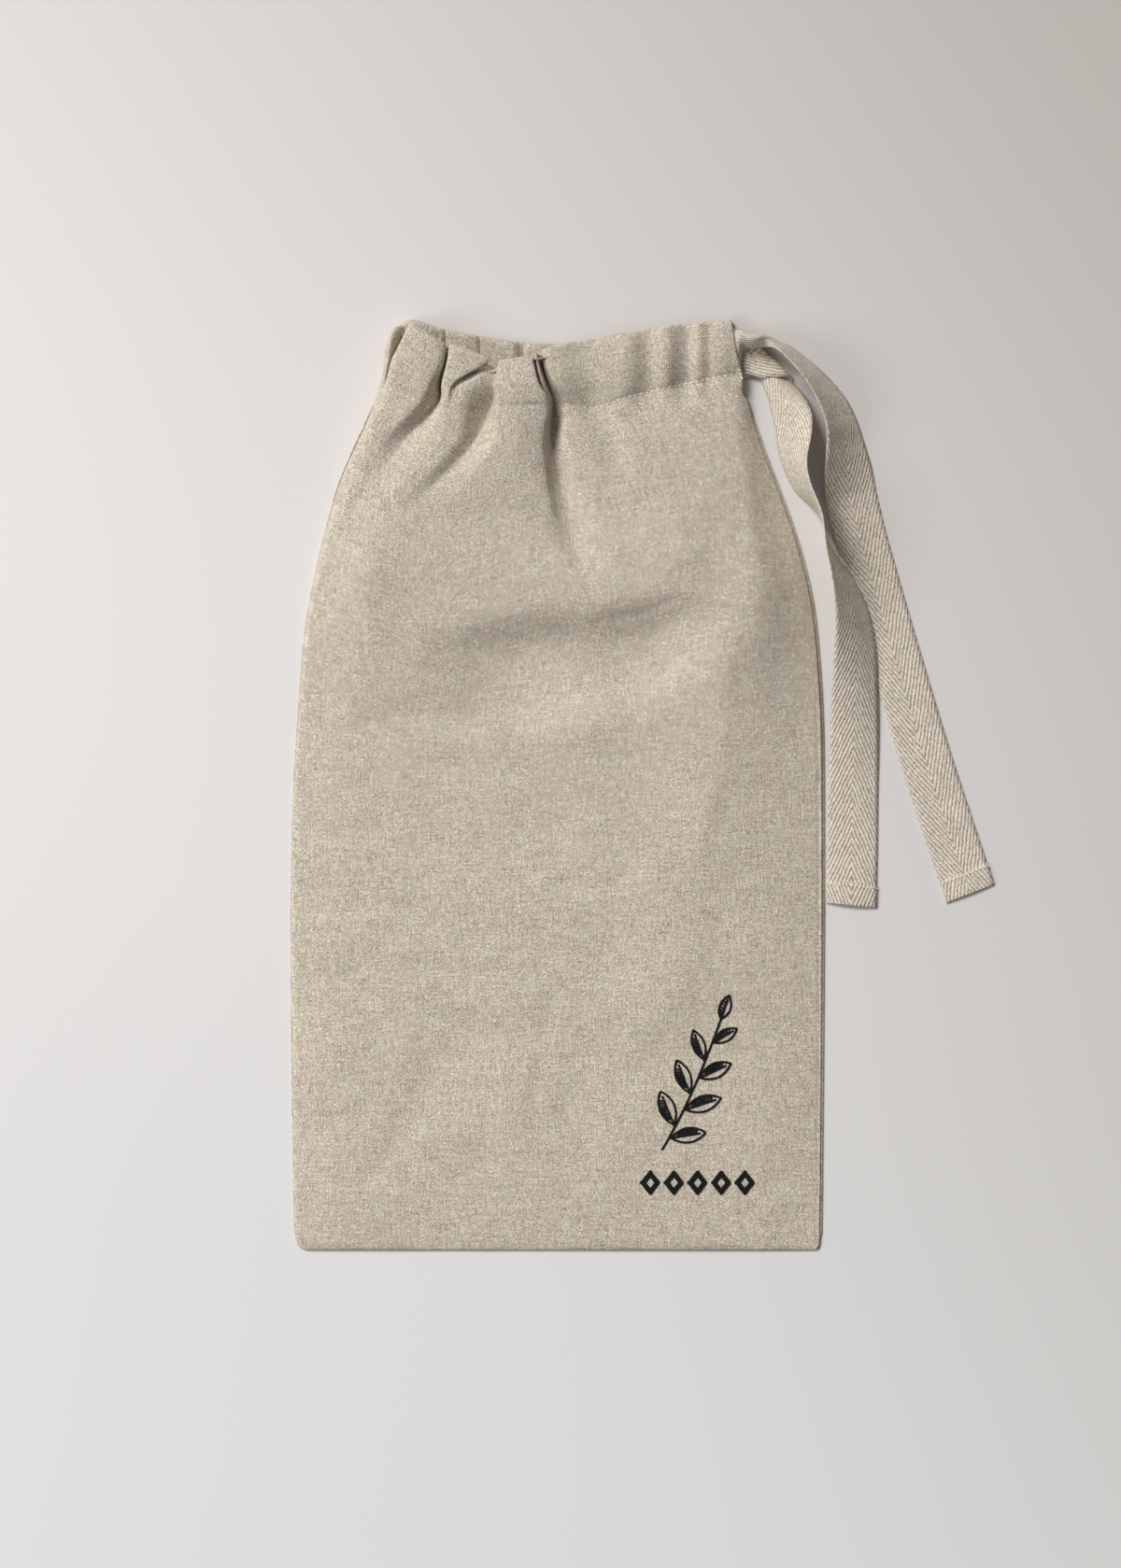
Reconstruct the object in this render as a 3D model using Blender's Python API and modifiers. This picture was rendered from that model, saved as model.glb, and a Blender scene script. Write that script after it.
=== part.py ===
"""A linen drawstring bag lying on its back: a back panel, a front panel and one twill tape.

X runs across the bag, Y along it towards the mouth, Z up from the surface that it lies on. The origin is
the middle of the back panel's underside. Sizes in the tables are millimetres, and MM brings them to metres.
"""

import math
from collections import namedtuple

import bmesh
import bpy
from mathutils import Vector

MM = 0.001
CLOTH = 1.0  # thickness of a linen layer
TAPE = 1.0  # thickness of the drawstring tape
GAP = 0.3  # air between layers that touch
TAPE_WIDTH = 25.0
BOTTOM = -226.0  # the bottom edge
MOUTH = 226.0  # the highest place of the mouth's folded edge
STITCH_DEPTH = 31.6  # from the mouth's folded edge down to the stitches that close the casing
HEM_END = 33.2  # the cut edge of the cloth turned in for the casing

LAYER = CLOTH / 2 + GAP + TAPE / 2  # from the middle of the tape to the middle of the cloth beside it
FLOOR_LAYER = CLOTH / 2  # height of the middle of a layer that lies on the surface
SEAM_TOP = FLOOR_LAYER + CLOTH + GAP  # height of the front panel where it lies on the back panel
SEAM_HALF = (CLOTH + GAP) / 2  # half the distance between the panels' middles along a seam

LINEN = (0.50, 0.46, 0.40, 1.0)
TWILL = (0.64, 0.57, 0.47, 1.0)

Side = namedtuple("Side", "y left right")
OUTLINE = (
    Side(-226.0, -123.6, 127.0),
    Side(-224.4, -126.6, 128.2),
    Side(-221.0, -128.2, 128.6),
    Side(-72.0, -130.0, 129.8),
    Side(0.0, -128.7, 129.8),
    Side(36.0, -126.4, 129.2),
    Side(73.0, -123.6, 126.6),
    Side(91.0, -120.5, 124.2),
    Side(109.0, -116.8, 120.0),
    Side(127.0, -112.3, 114.5),
    Side(146.0, -106.8, 107.4),
    Side(164.0, -99.1, 100.6),
    Side(187.0, -88.4, 92.6),
    Side(200.0, -84.6, 90.4),
    Side(213.0, -83.2, 87.4),
    Side(226.0, -78.2, 84.6),
)
FRONT_INSET_LEFT = 0.6  # the back panel's seam edge shows past the front's by this much
FRONT_INSET_RIGHT = 1.6

Edge = namedtuple("Edge", "x y")
FRONT_TOP = (
    Edge(-85.0, 218.0),
    Edge(-79.0, 222.6),
    Edge(-72.7, 224.4),
    Edge(-55.5, 216.0),
    Edge(-44.0, 212.5),
    Edge(-25.0, 208.5),
    Edge(-10.0, 210.5),
    Edge(10.0, 215.5),
    Edge(30.0, 219.0),
    Edge(52.0, 223.0),
    Edge(84.6, 226.0),
)
BACK_TOP = (
    Edge(-85.0, 218.0),
    Edge(-79.0, 222.8),
    Edge(-71.4, 226.0),
    Edge(-57.7, 222.0),
    Edge(-35.0, 217.5),
    Edge(-12.0, 214.6),
    Edge(10.0, 214.8),
    Edge(30.0, 218.0),
    Edge(52.0, 222.0),
    Edge(84.6, 225.4),
)

# Height of the front panel, before its folds, at the left gathers, the middle gathers and the flat part.
Level = namedtuple("Level", "y left middle right")
LEVEL_AT = (-66.0, -12.0, 34.0)
FRONT_LEVEL = (
    Level(-226.0, 3.0, 3.0, 3.0),
    Level(-140.0, 3.2, 3.6, 3.2),
    Level(-40.0, 3.6, 4.4, 3.8),
    Level(40.0, 4.8, 6.2, 4.8),
    Level(80.0, 5.6, 7.0, 5.4),
    Level(120.0, 8.8, 9.2, 6.0),
    Level(160.0, 13.8, 13.6, 7.2),
    Level(190.0, 17.0, 16.8, 8.6),
    Level(226.0, 17.6, 17.2, 8.6),
)
SEAM_LEVEL = 7.0  # height of the left seam where the casing turns round the tape
SEAM_RISE = (118.0, 188.0)  # the left seam climbs to that height between these
MOUTH_RISE = (150.0, 192.0)  # the right edge opens between these
LEFT_TURN = (3.0, 7.0)  # width of the turn at the left seam, along the body and at the mouth
RIGHT_TURN = (5.0, 3.0)  # the same at the right edge
BOTTOM_TURN = 9.0  # width of the turn along the bottom seam

# Folds that run down from the mouth. Each passes x0 at the mouth, x1 at y1 and x2 at y2, and has its height,
# its half widths to the left and right, how much wider it gets, its lean, and the length it dies out over.
Fold = namedtuple("Fold", "name x0 x1 x2 y1 y2 height left right spread lean fade")
DOWN_FOLDS = (
    Fold("left ridge", -71.0, -76.5, -92.0, 185.0, 132.0, 4.4, 10.0, 12.0, 1.5, 0.0, 34.0),
    Fold("left valley", -55.0, -60.0, -86.0, 186.0, 134.0, -4.4, 10.0, 9.5, 1.5, 0.0, 30.0),
    Fold("flap ridge", -43.0, -47.0, -74.0, 188.0, 124.0, 4.8, 11.0, 12.0, 1.5, -2.2, 34.0),
    Fold("pocket valley", -29.0, -32.0, -61.0, 176.0, 120.0, -4.4, 10.5, 10.5, 1.5, 0.0, 34.0),
    Fold("round ridge", -14.0, -12.5, -10.0, 182.0, 104.0, 5.6, 14.0, 13.5, 1.5, 2.0, 44.0),
    Fold("deep groove", 1.0, 0.0, 8.0, 172.0, 104.0, -5.4, 11.5, 12.5, 1.4, 0.0, 40.0),
    Fold("pucker one", 24.0, 23.0, 22.0, 188.0, 168.0, -0.8, 7.0, 7.0, 1.2, 0.0, 14.0),
    Fold("pucker two", 40.0, 40.0, 41.0, 190.0, 172.0, -1.0, 6.0, 6.0, 1.2, 0.0, 14.0),
    Fold("pucker three", 57.0, 57.0, 59.0, 192.0, 172.0, -1.4, 7.0, 7.0, 1.2, 0.0, 14.0),
    Fold("right side dip", 109.0, 109.0, 84.0, 60.0, -95.0, -1.4, 12.0, 12.0, 1.3, 0.0, 40.0),
)

# Creases across the body, each through three points, with its height and its half widths below and above.
Crease = namedtuple("Crease", "name x0 y0 x1 y1 x2 y2 height below above fade")
CROSS_FOLDS = (
    Crease("long trough", -70.0, 73.0, 4.0, 75.0, 68.0, 97.0, -2.4, 16.0, 16.0, 22.0),
    Crease("short trough", -80.0, 45.0, -58.0, 41.0, -36.0, 34.0, -1.2, 12.0, 12.0, 14.0),
    Crease("shoulder swell", 10.0, 120.0, 40.0, 122.0, 72.0, 124.0, 2.2, 20.0, 24.0, 30.0),
    Crease("waist swell", 20.0, 46.0, 62.0, 52.0, 84.0, 58.0, 1.6, 20.0, 16.0, 26.0),
)

Arch = namedtuple("Arch", "x y height along across")
OPEN_END = Arch(88.0, 211.0, 5.0, 22.0, 15.0)  # the casing's open right end stands up by this

# Where the panels' grids have their rows and columns.
FRONT_BODY_ROWS = (BOTTOM, -223.6, -217, -165, -110, -60, -15, 20, 42, 60, 75, 90, 106, 124, 142, 160)
BACK_BODY_ROWS = (BOTTOM, -223.6, -217, -110, 0, 60, 90, 124, 150, 168)
TAPE_TOP = 3.2  # depth of the tape's upper edge below the folded edge
TAPE_ROWS = tuple(TAPE_TOP + TAPE_WIDTH * k / 3 for k in (3, 2, 1, 0))
CASING_ROWS = (STITCH_DEPTH,) + TAPE_ROWS + (LAYER + CLOTH / 2,)  # depths below the folded edge
CAP_ANGLES = (45.0, 90.0, 135.0)  # points round the folded edge
LEFT_ARC = (0.0, 28.0, 56.0, 78.0)  # columns round the turn at the left seam, as angles
RIGHT_ARC = (70.0, 38.0, 0.0)
FRONT_COLUMNS = (20, 11)  # columns over the gathers and over the flat part
BACK_COLUMNS = (6, 5)
GATHER_SHARE = 0.52  # the gathers take this share of the bag's width

# The tape's free ends: the places of its two edges, a and b, at each section from the casing outwards.
Rail = namedtuple("Rail", "ax ay az bx by bz")
OUTER_TAIL = (
    Rail(91.6, 209.0, 12.0, 88.6, 221.6, 5.0),
    Rail(94.4, 214.6, 17.0, 93.6, 220.8, 3.0),
    Rail(99.6, 215.6, 21.0, 100.6, 218.4, 1.6),
    Rail(106.0, 212.6, 23.6, 107.4, 214.6, 0.8),
    Rail(111.0, 207.4, 24.6, 115.0, 211.4, 0.6),
    Rail(120.2, 196.8, 23.6, 128.4, 201.2, 0.6),
    Rail(127.0, 184.6, 22.4, 139.6, 188.6, 0.6),
    Rail(130.6, 173.2, 20.0, 145.4, 177.4, 0.6),
    Rail(130.4, 160.6, 15.6, 149.6, 164.6, 0.5),
    Rail(129.8, 150.6, 9.0, 152.4, 155.6, 0.5),
    Rail(130.4, 138.0, 2.2, 154.8, 143.6, 0.5),
    Rail(133.2, 124.0, 0.5, 157.8, 130.6, 0.5),
    Rail(137.6, 108.0, 0.5, 162.0, 114.6, 0.5),
    Rail(147.4, 74.6, 0.5, 171.6, 81.0, 0.5),
    Rail(157.8, 39.6, 0.5, 181.9, 46.2, 0.5),
    Rail(168.2, 4.4, 0.5, 192.4, 11.8, 0.5),
    Rail(178.8, -27.4, 0.5, 202.6, -19.0, 0.5),
    Rail(189.0, -57.0, 0.5, 212.2, -48.0, 0.5),
)
INNER_TAIL = (
    Rail(93.0, 198.8, 2.2, 88.0, 220.8, 1.9),
    Rail(101.0, 198.2, 4.0, 88.8, 221.4, 2.4),
    Rail(110.2, 198.6, 4.2, 89.6, 221.6, 2.6),
    Rail(113.0, 199.2, 3.0, 90.6, 221.6, 1.7),
    Rail(113.8, 197.6, 1.8, 91.0, 218.6, 0.6),
    Rail(114.4, 195.6, 1.6, 92.0, 213.6, 0.5),
    Rail(116.2, 193.4, 2.4, 95.0, 205.0, 0.5),
    Rail(118.8, 190.6, 5.4, 99.4, 196.0, 0.5),
    Rail(121.8, 184.8, 10.6, 102.6, 187.0, 0.5),
    Rail(123.6, 178.6, 14.6, 104.8, 178.4, 0.5),
    Rail(123.0, 169.0, 18.4, 106.6, 169.0, 0.5),
    Rail(121.2, 160.8, 21.4, 108.0, 160.6, 0.5),
    Rail(121.0, 153.6, 23.2, 111.0, 152.0, 0.5),
    Rail(122.6, 146.4, 24.2, 115.4, 143.0, 0.5),
    Rail(125.6, 138.6, 25.0, 121.6, 137.0, 0.5),
    Rail(128.2, 131.6, 25.5, 126.8, 131.2, 0.5),
    Rail(129.4, 122.8, 25.5, 130.6, 123.0, 0.7),
    Rail(130.2, 115.4, 25.6, 133.4, 115.4, 1.7),
    Rail(131.8, 107.0, 25.4, 139.0, 106.8, 2.0),
    Rail(133.2, 99.6, 24.2, 144.4, 99.4, 2.0),
    Rail(134.2, 91.6, 22.2, 148.6, 91.4, 2.0),
    Rail(135.0, 80.6, 19.2, 152.3, 80.6, 1.9),
    Rail(134.4, 66.0, 14.6, 154.6, 66.0, 1.9),
    Rail(133.2, 48.0, 9.0, 155.4, 48.0, 1.9),
    Rail(132.2, 24.0, 4.0, 156.0, 24.0, 1.2),
    Rail(131.2, -4.0, 1.4, 155.8, -4.0, 0.6),
    Rail(130.8, -32.0, 0.5, 155.6, -32.0, 0.5),
    Rail(130.8, -57.0, 0.5, 155.0, -59.4, 0.5),
)
TAIL_STEP = 7.0  # length of tape between sections of a tail


def smooth(low, high, value):
    """0 below low, 1 above high, and an even S between."""
    t = min(max((value - low) / (high - low), 0.0), 1.0)
    return t * t * (3 - 2 * t)


def mix(a, b, share):
    return a + (b - a) * share


def along(rows, key, column, value):
    """The column of a table at a value of its key, on a smooth curve through the rows."""
    keys = [getattr(row, key) for row in rows]
    heights = [getattr(row, column) for row in rows]
    if value <= keys[0]:
        return heights[0]
    if value >= keys[-1]:
        return heights[-1]
    i = max(k for k in range(len(keys) - 1) if keys[k] <= value)

    def slope(k):
        k0, k1 = max(k - 1, 0), min(k + 1, len(keys) - 1)
        return (heights[k1] - heights[k0]) / (keys[k1] - keys[k0])

    span = keys[i + 1] - keys[i]
    t = (value - keys[i]) / span
    return (
        heights[i] * (2 * t**3 - 3 * t**2 + 1)
        + heights[i + 1] * (3 * t**2 - 2 * t**3)
        + span * slope(i) * (t**3 - 2 * t**2 + t)
        + span * slope(i + 1) * (t**3 - t**2)
    )


def bump(distance, left, right):
    """1 on a fold's line, 0 past its half width on either side."""
    half = left if distance < 0 else right
    return 0.0 if abs(distance) >= half else 0.5 + 0.5 * math.cos(math.pi * distance / half)


def through(a, b, c, ka, kb, kc, key):
    """A quadratic through three values at three keys."""
    return (
        a * (key - kb) * (key - kc) / ((ka - kb) * (ka - kc))
        + b * (key - ka) * (key - kc) / ((kb - ka) * (kb - kc))
        + c * (key - ka) * (key - kb) / ((kc - ka) * (kc - kb))
    )


def front_level(x, y):
    left, middle, right = (along(FRONT_LEVEL, "y", name, y) for name in Level._fields[1:])
    gathered = mix(left, middle, smooth(LEVEL_AT[0], LEVEL_AT[1], x))
    return mix(gathered, right, smooth(LEVEL_AT[1], LEVEL_AT[2], x))


def folds_at(x, y):
    """(height, lean) that the folds add at a place on the front panel."""
    height = lean = 0.0
    for fold in DOWN_FOLDS:
        end = fold.y2 - fold.fade
        centre = through(fold.x0, fold.x1, fold.x2, MOUTH, fold.y1, fold.y2, max(y, end))
        widen = fold.spread + (1 - fold.spread) * smooth(fold.y2, MOUTH, y)
        amount = bump(x - centre, fold.left * widen, fold.right * widen)
        amount *= smooth(end, fold.y2 + fold.fade, y)
        height += fold.height * amount
        lean += fold.lean * amount
    for crease in CROSS_FOLDS:
        centre = through(crease.y0, crease.y1, crease.y2, crease.x0, crease.x1, crease.x2, x)
        ends = smooth(crease.x0 - crease.fade, crease.x0 + crease.fade, x)
        ends *= 1 - smooth(crease.x2 - crease.fade, crease.x2 + crease.fade, x)
        height += crease.height * bump(y - centre, crease.below, crease.above) * ends
    arch = bump(x - OPEN_END.x, OPEN_END.along, OPEN_END.along)
    height += OPEN_END.height * arch * bump(y - OPEN_END.y, OPEN_END.across, OPEN_END.across)
    return height, lean


def bottom_round(y):
    """How far the front panel has risen from the bottom seam, 0 to 1."""
    t = min((y - BOTTOM) / BOTTOM_TURN, 1.0)
    return math.sqrt(1 - (1 - t) ** 2)


def seam_level(y):
    """Height of the middle of the left seam."""
    flat = FLOOR_LAYER + SEAM_HALF
    return mix(flat, SEAM_LEVEL, smooth(SEAM_RISE[0], SEAM_RISE[1], y))


def columns(counts):
    """(kind, value) of each column: round the left turn, across the cloth, into the right edge."""
    gathers, flat = counts
    spread = [GATHER_SHARE * k / gathers for k in range(gathers)]
    spread += [GATHER_SHARE + (1 - GATHER_SHARE) * k / flat for k in range(flat + 1)]
    found = [("left", angle) for angle in LEFT_ARC]
    found += [("across", share) for share in spread]
    return found + [("right", angle) for angle in RIGHT_ARC]


def across(column, left, right, turn_left, turn_right):
    """(x, share of the rise at the left turn, share at the right edge) of a column."""
    kind, value = column
    angle = math.radians(value)
    if kind == "left":
        return left + turn_left * (1 - math.cos(angle)), math.sin(angle), 1.0
    if kind == "right":
        return right - turn_right * (1 - math.cos(angle)), 1.0, math.sin(angle)
    return left + turn_left + (right - left - turn_left - turn_right) * value, 1.0, 1.0


def place(row, column, top, inset_left, inset_right):
    """(x, y, rise left, rise right) of a column on a "body", "casing" or "below" row."""
    kind, value = row
    y = value if kind == "body" else MOUTH
    for _ in range(4):  # the row's y depends on x and the outline's x on y, so each is settled in turn
        open_end = smooth(MOUTH_RISE[0], MOUTH_RISE[1], y)
        left = along(OUTLINE, "y", "left", y) + inset_left
        right = along(OUTLINE, "y", "right", y) - inset_right * (1 - open_end)
        turn_left = mix(*LEFT_TURN, smooth(SEAM_RISE[0], SEAM_RISE[1], y))
        turn_right = mix(*RIGHT_TURN, open_end)
        x, rise_left, rise_right = across(column, left, right, turn_left, turn_right)
        if kind == "casing":
            y = along(top, "x", "y", x) - value
        elif kind == "below":
            y = mix(along(top, "x", "y", x) - STITCH_DEPTH, FRONT_BODY_ROWS[-1], value)
    return x, y, rise_left, rise_right


def front_point(row, column):
    """The middle of the front panel's outer layer."""
    x, y, rise_left, rise_right = place(row, column, FRONT_TOP, FRONT_INSET_LEFT, FRONT_INSET_RIGHT)
    height, lean = folds_at(x, y)
    full = front_level(x, y) + height
    rise_right = mix(rise_right, 1.0, smooth(MOUTH_RISE[0], MOUTH_RISE[1], y))
    z = mix(seam_level(y) + SEAM_HALF, full, rise_left)
    z = mix(SEAM_TOP, z, rise_right * bottom_round(y))
    return Vector((x + lean * rise_left * rise_right, y, z))


def back_point(row, column):
    """The middle of the back panel's outer layer, which is flat but for its turn at the left seam."""
    x, y, rise_left, _ = place(row, column, BACK_TOP, 0.0, 0.0)
    return Vector((x, y, mix(seam_level(y) - SEAM_HALF, FLOOR_LAYER, rise_left)))


def heading(points, i):
    """The direction of a line of points at one of them, halfway between its two sides."""
    before = (points[i] - points[i - 1]).normalized() if i else Vector((0, 0, 0))
    after = Vector((0, 0, 0)) if i + 1 == len(points) else (points[i + 1] - points[i]).normalized()
    return before + after


def normals(grid):
    """Unit normals of a grid of points, upwards where it lies flat."""
    upwards = list(zip(*grid))
    found = []
    for j, line in enumerate(grid):
        sideways = [heading(line, i) for i in range(len(line))]
        sideways[0] = 4 * line[1] - 3 * line[0] - line[2]  # the turn at the left seam is a round one
        lengthways = [heading(column, j) for column in upwards]
        found.append([side.cross(length).normalized() for side, length in zip(sideways, lengthways)])
    return found


def offset(points, directions, distance):
    return [p + n * distance for p, n in zip(points, directions)]


def panel_and_tape(outer, inwards):
    """The rows of a whole panel, up its outer layer, over the folded edge and down inside, and of its tape.

    The outer layer's last rows are the casing's, from the stitches to the folded edge. inwards is 1 where
    the inside of the bag lies along the normals, and -1 where it lies against them.
    """
    directions = normals(outer)
    stitched, fold = len(outer) - len(CASING_ROWS), len(outer) - 1
    rows = list(outer)
    up = [(a - b).normalized() for a, b in zip(outer[fold], outer[fold - 1])]
    for angle in map(math.radians, CAP_ANGLES):
        inside = offset(outer[fold], directions[fold], inwards * LAYER * (1 - math.cos(angle)))
        rows.append(offset(inside, up, LAYER * math.sin(angle)))
    for j in range(fold, stitched, -1):
        rows.append(offset(outer[j], directions[j], inwards * 2 * LAYER))
    down = [(a - b).normalized() for a, b in zip(outer[stitched - 1], outer[stitched])]
    closed = offset(outer[stitched], directions[stitched], inwards * (CLOTH + GAP))
    rows += [closed, offset(closed, down, HEM_END - STITCH_DEPTH)]
    beside_tape = range(stitched + 1, stitched + 1 + len(TAPE_ROWS))
    return rows, [offset(outer[j], directions[j], inwards * LAYER) for j in beside_tape]


def split(corners):
    """A quad's two triangles, cut on the diagonal that rises to the right, so that stacked layers match."""
    a, b, c, d = corners
    first, second = c.co - a.co, d.co - b.co
    if first.x * first.y > second.x * second.y:
        return (a, b, c), (a, c, d)
    return (b, c, d), (b, d, a)


def sheet(name, rows, thickness, material):
    """One object: an open sheet through a grid of points in millimetres, made solid about its middle."""
    mesh = bpy.data.meshes.new(name)
    bm = bmesh.new()
    grid = [[bm.verts.new(p * MM) for p in line] for line in rows]
    for low, high in zip(grid, grid[1:]):
        for i in range(len(low) - 1):
            for corners in split((low[i], low[i + 1], high[i + 1], high[i])):
                bm.faces.new(corners)
    bm.to_mesh(mesh)
    bm.free()
    mesh.shade_smooth()
    mesh.materials.append(material)
    piece = bpy.data.objects.new(name, mesh)
    solid = piece.modifiers.new("thickness", "SOLIDIFY")
    solid.thickness = thickness * MM
    solid.offset = 0.0
    return piece


def cloth_material(name, colour, roughness):
    material = bpy.data.materials.new(name)
    material.use_nodes = True
    shader = material.node_tree.nodes["Principled BSDF"]
    shader.inputs["Base Color"].default_value = colour
    shader.inputs["Roughness"].default_value = roughness
    shader.inputs["Metallic"].default_value = 0.0
    return material


def front_rows():
    rows = [("body", y) for y in FRONT_BODY_ROWS] + [("below", 0.5)]
    rows += [("casing", depth) for depth in CASING_ROWS]
    outer = [[front_point(row, column) for column in columns(FRONT_COLUMNS)] for row in rows]
    return panel_and_tape(outer, -1)


def back_rows():
    rows = [("body", y) for y in BACK_BODY_ROWS] + [("casing", depth) for depth in CASING_ROWS]
    outer = [[back_point(row, column) for column in columns(BACK_COLUMNS)] for row in rows]
    return panel_and_tape(outer, 1)


def curve_point(p0, p1, p2, p3, t):
    """A point between p1 and p2 on a smooth curve through all four."""
    bend = (2 * p0 - 5 * p1 + 4 * p2 - p3) * t**2 + (3 * p1 - p0 - 3 * p2 + p3) * t**3
    point = (2 * p1 + (p2 - p0) * t + bend) / 2
    point.z = max(point.z, TAPE / 2)
    return point


def tail_sections(start, rails):
    """Sections of a free end every few millimetres, on smooth curves from the casing through the rails."""
    count = len(start)
    ends = [(start[0], start[-1])]
    ends += [(Vector((r.ax, r.ay, r.az)), Vector((r.bx, r.by, r.bz))) for r in rails]
    shape = [start[s] - start[0].lerp(start[-1], s / (count - 1)) for s in range(count)]
    sections = []
    for k in range(len(ends) - 1):
        near = [ends[m] for m in (max(k - 1, 0), k, k + 1, min(k + 2, len(ends) - 1))]
        length = max((near[2][side] - near[1][side]).length for side in (0, 1))
        steps = max(2, round(length / TAIL_STEP))
        for step in range(1, steps + 1):
            t = step / steps
            a, b = (curve_point(*(edge[side] for edge in near), t) for side in (0, 1))
            kept = max(0.0, 1 - (k + t) / 2)  # the casing's curve across the tape dies out over two rails
            sections.append([a.lerp(b, s / (count - 1)) + shape[s] * kept for s in range(count)])
    return sections


def drawstring_sections(front_tape, back_tape):
    """Sections of the whole tape, from the end of one tail through both casings to the end of the other."""
    front, back = list(zip(*front_tape)), list(zip(*back_tape))
    outer = tail_sections(front[-1], OUTER_TAIL)
    inner = tail_sections(back[-1], INNER_TAIL)
    return outer[::-1] + front[::-1] + back + inner


def main():
    for obj in list(bpy.data.objects):
        bpy.data.objects.remove(obj)
    parts = bpy.data.collections.new("linen_drawstring_bag")
    bpy.context.scene.collection.children.link(parts)
    linen = cloth_material("linen", LINEN, 0.9)
    twill = cloth_material("twill_tape", TWILL, 0.85)
    front, front_tape = front_rows()
    back, back_tape = back_rows()
    parts.objects.link(sheet("back_panel", back, CLOTH, linen))
    parts.objects.link(sheet("front_panel", front, CLOTH, linen))
    tape = drawstring_sections(front_tape, back_tape)
    parts.objects.link(sheet("drawstring_tape", tape, TAPE, twill))


main()
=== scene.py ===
"""The looks of a linen drawstring bag that lies on its back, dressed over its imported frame.

X runs across the bag, Y along it towards its mouth and Z up from the table. Sizes in the tables are
millimetres, and MM brings them to metres.
"""

import math
from collections import namedtuple

import bpy
import numpy as np
from mathutils import Matrix, Vector, noise
from mathutils.bvhtree import BVHTree


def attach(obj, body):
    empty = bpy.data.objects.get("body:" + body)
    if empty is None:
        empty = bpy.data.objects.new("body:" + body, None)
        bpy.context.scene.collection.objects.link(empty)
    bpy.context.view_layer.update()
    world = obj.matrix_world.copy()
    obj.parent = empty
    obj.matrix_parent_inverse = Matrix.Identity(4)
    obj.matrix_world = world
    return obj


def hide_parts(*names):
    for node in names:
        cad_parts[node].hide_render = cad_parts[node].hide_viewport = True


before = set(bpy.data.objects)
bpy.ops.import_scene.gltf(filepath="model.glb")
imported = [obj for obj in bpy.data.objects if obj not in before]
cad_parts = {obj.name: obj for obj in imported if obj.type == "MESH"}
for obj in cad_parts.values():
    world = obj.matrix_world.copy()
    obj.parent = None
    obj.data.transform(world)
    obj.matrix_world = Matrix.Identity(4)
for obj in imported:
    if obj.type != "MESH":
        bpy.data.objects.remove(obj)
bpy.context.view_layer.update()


# The back panel --------------------------------------------------------------------------------------
# One piece of washed natural linen that lies on the table. Its top is folded inside over the tape, as the
# back half of the casing, whose inner face shows in the mouth with small pleats from the gathers.

MM = 0.001
CLOTH = 0.6  # thickness of the linen
LAYER = 1.3  # from the middle of the tape to the middle of the cloth beside it in the back casing
REST = 0.36  # height of the middle of the cloth on the table
BOTTOM = -226.0
MOUTH = 226.0
CASING = 31.6  # depth of the casing's stitches below the folded edge
SEAM_HALF = 0.34  # half the distance between the two panels along a seam

Side = namedtuple("Side", "y left right")
OUTLINE = (
    Side(-226.0, -123.6, 127.0),
    Side(-224.4, -126.6, 128.2),
    Side(-221.0, -128.2, 128.6),
    Side(-72.0, -130.0, 129.8),
    Side(0.0, -128.7, 129.8),
    Side(36.0, -126.4, 129.2),
    Side(73.0, -123.6, 126.6),
    Side(91.0, -120.5, 124.2),
    Side(109.0, -116.8, 120.0),
    Side(127.0, -112.3, 114.5),
    Side(146.0, -106.8, 107.4),
    Side(164.0, -99.1, 100.6),
    Side(187.0, -88.4, 92.7),
    Side(190.5, -87.3, 90.4),
    Side(200.5, -84.5, 90.0),
    Side(203.5, -84.2, 88.6),
    Side(213.0, -83.2, 86.6),
    Side(226.0, -78.2, 84.6),
)
Edge = namedtuple("Edge", "x y")
BACK_TOP = (
    Edge(-85.0, 218.0),
    Edge(-79.0, 222.8),
    Edge(-71.4, 226.0),
    Edge(-57.7, 222.0),
    Edge(-35.0, 217.5),
    Edge(-12.0, 214.6),
    Edge(10.0, 214.8),
    Edge(30.0, 218.0),
    Edge(52.0, 222.0),
    Edge(84.6, 225.4),
)
# The turned-in cloth of the back casing stands off by its lift over the gathers, and sinks towards the edge
# of each pleat over the pleat's run, from where the next stretch overlaps it.
BACK_LIFT = 4.8
BACK_LIFT_ENDS = (-12.0, 8.0)
Pleat = namedtuple("Pleat", "x sink run step")
BACK_PLEATS = (
    Pleat(-54.6, 2.4, 9.0, 0.7),
    Pleat(-54.4, 2.6, 2.2, 0.7),
    Pleat(-37.6, 1.6, 8.0, 0.8),
    Pleat(-37.4, 2.0, 2.2, 0.7),
    Pleat(-15.6, 4.6, 7.0, 0.9),
)
SEAM_LEVEL = 7.0  # height of the left seam where the casing turns round the tape
SEAM_RISE = (118.0, 188.0)  # the left seam climbs to that height between these
BACK_GRID = (230, 50, 22)  # columns, rows over the body, rows over the casing
BODY_END = 180.0  # the body's rows end here, below the casing
LEFT_TURN = (3.0, 7.0)  # width of the left seam's turn below its climb and above it


def smooth(low, high, value):
    """0 below low, 1 above high, and an even S between."""
    t = np.clip((value - low) / (high - low), 0.0, 1.0)
    return t * t * (3 - 2 * t)


def mix(a, b, share):
    return a + (b - a) * share


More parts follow.
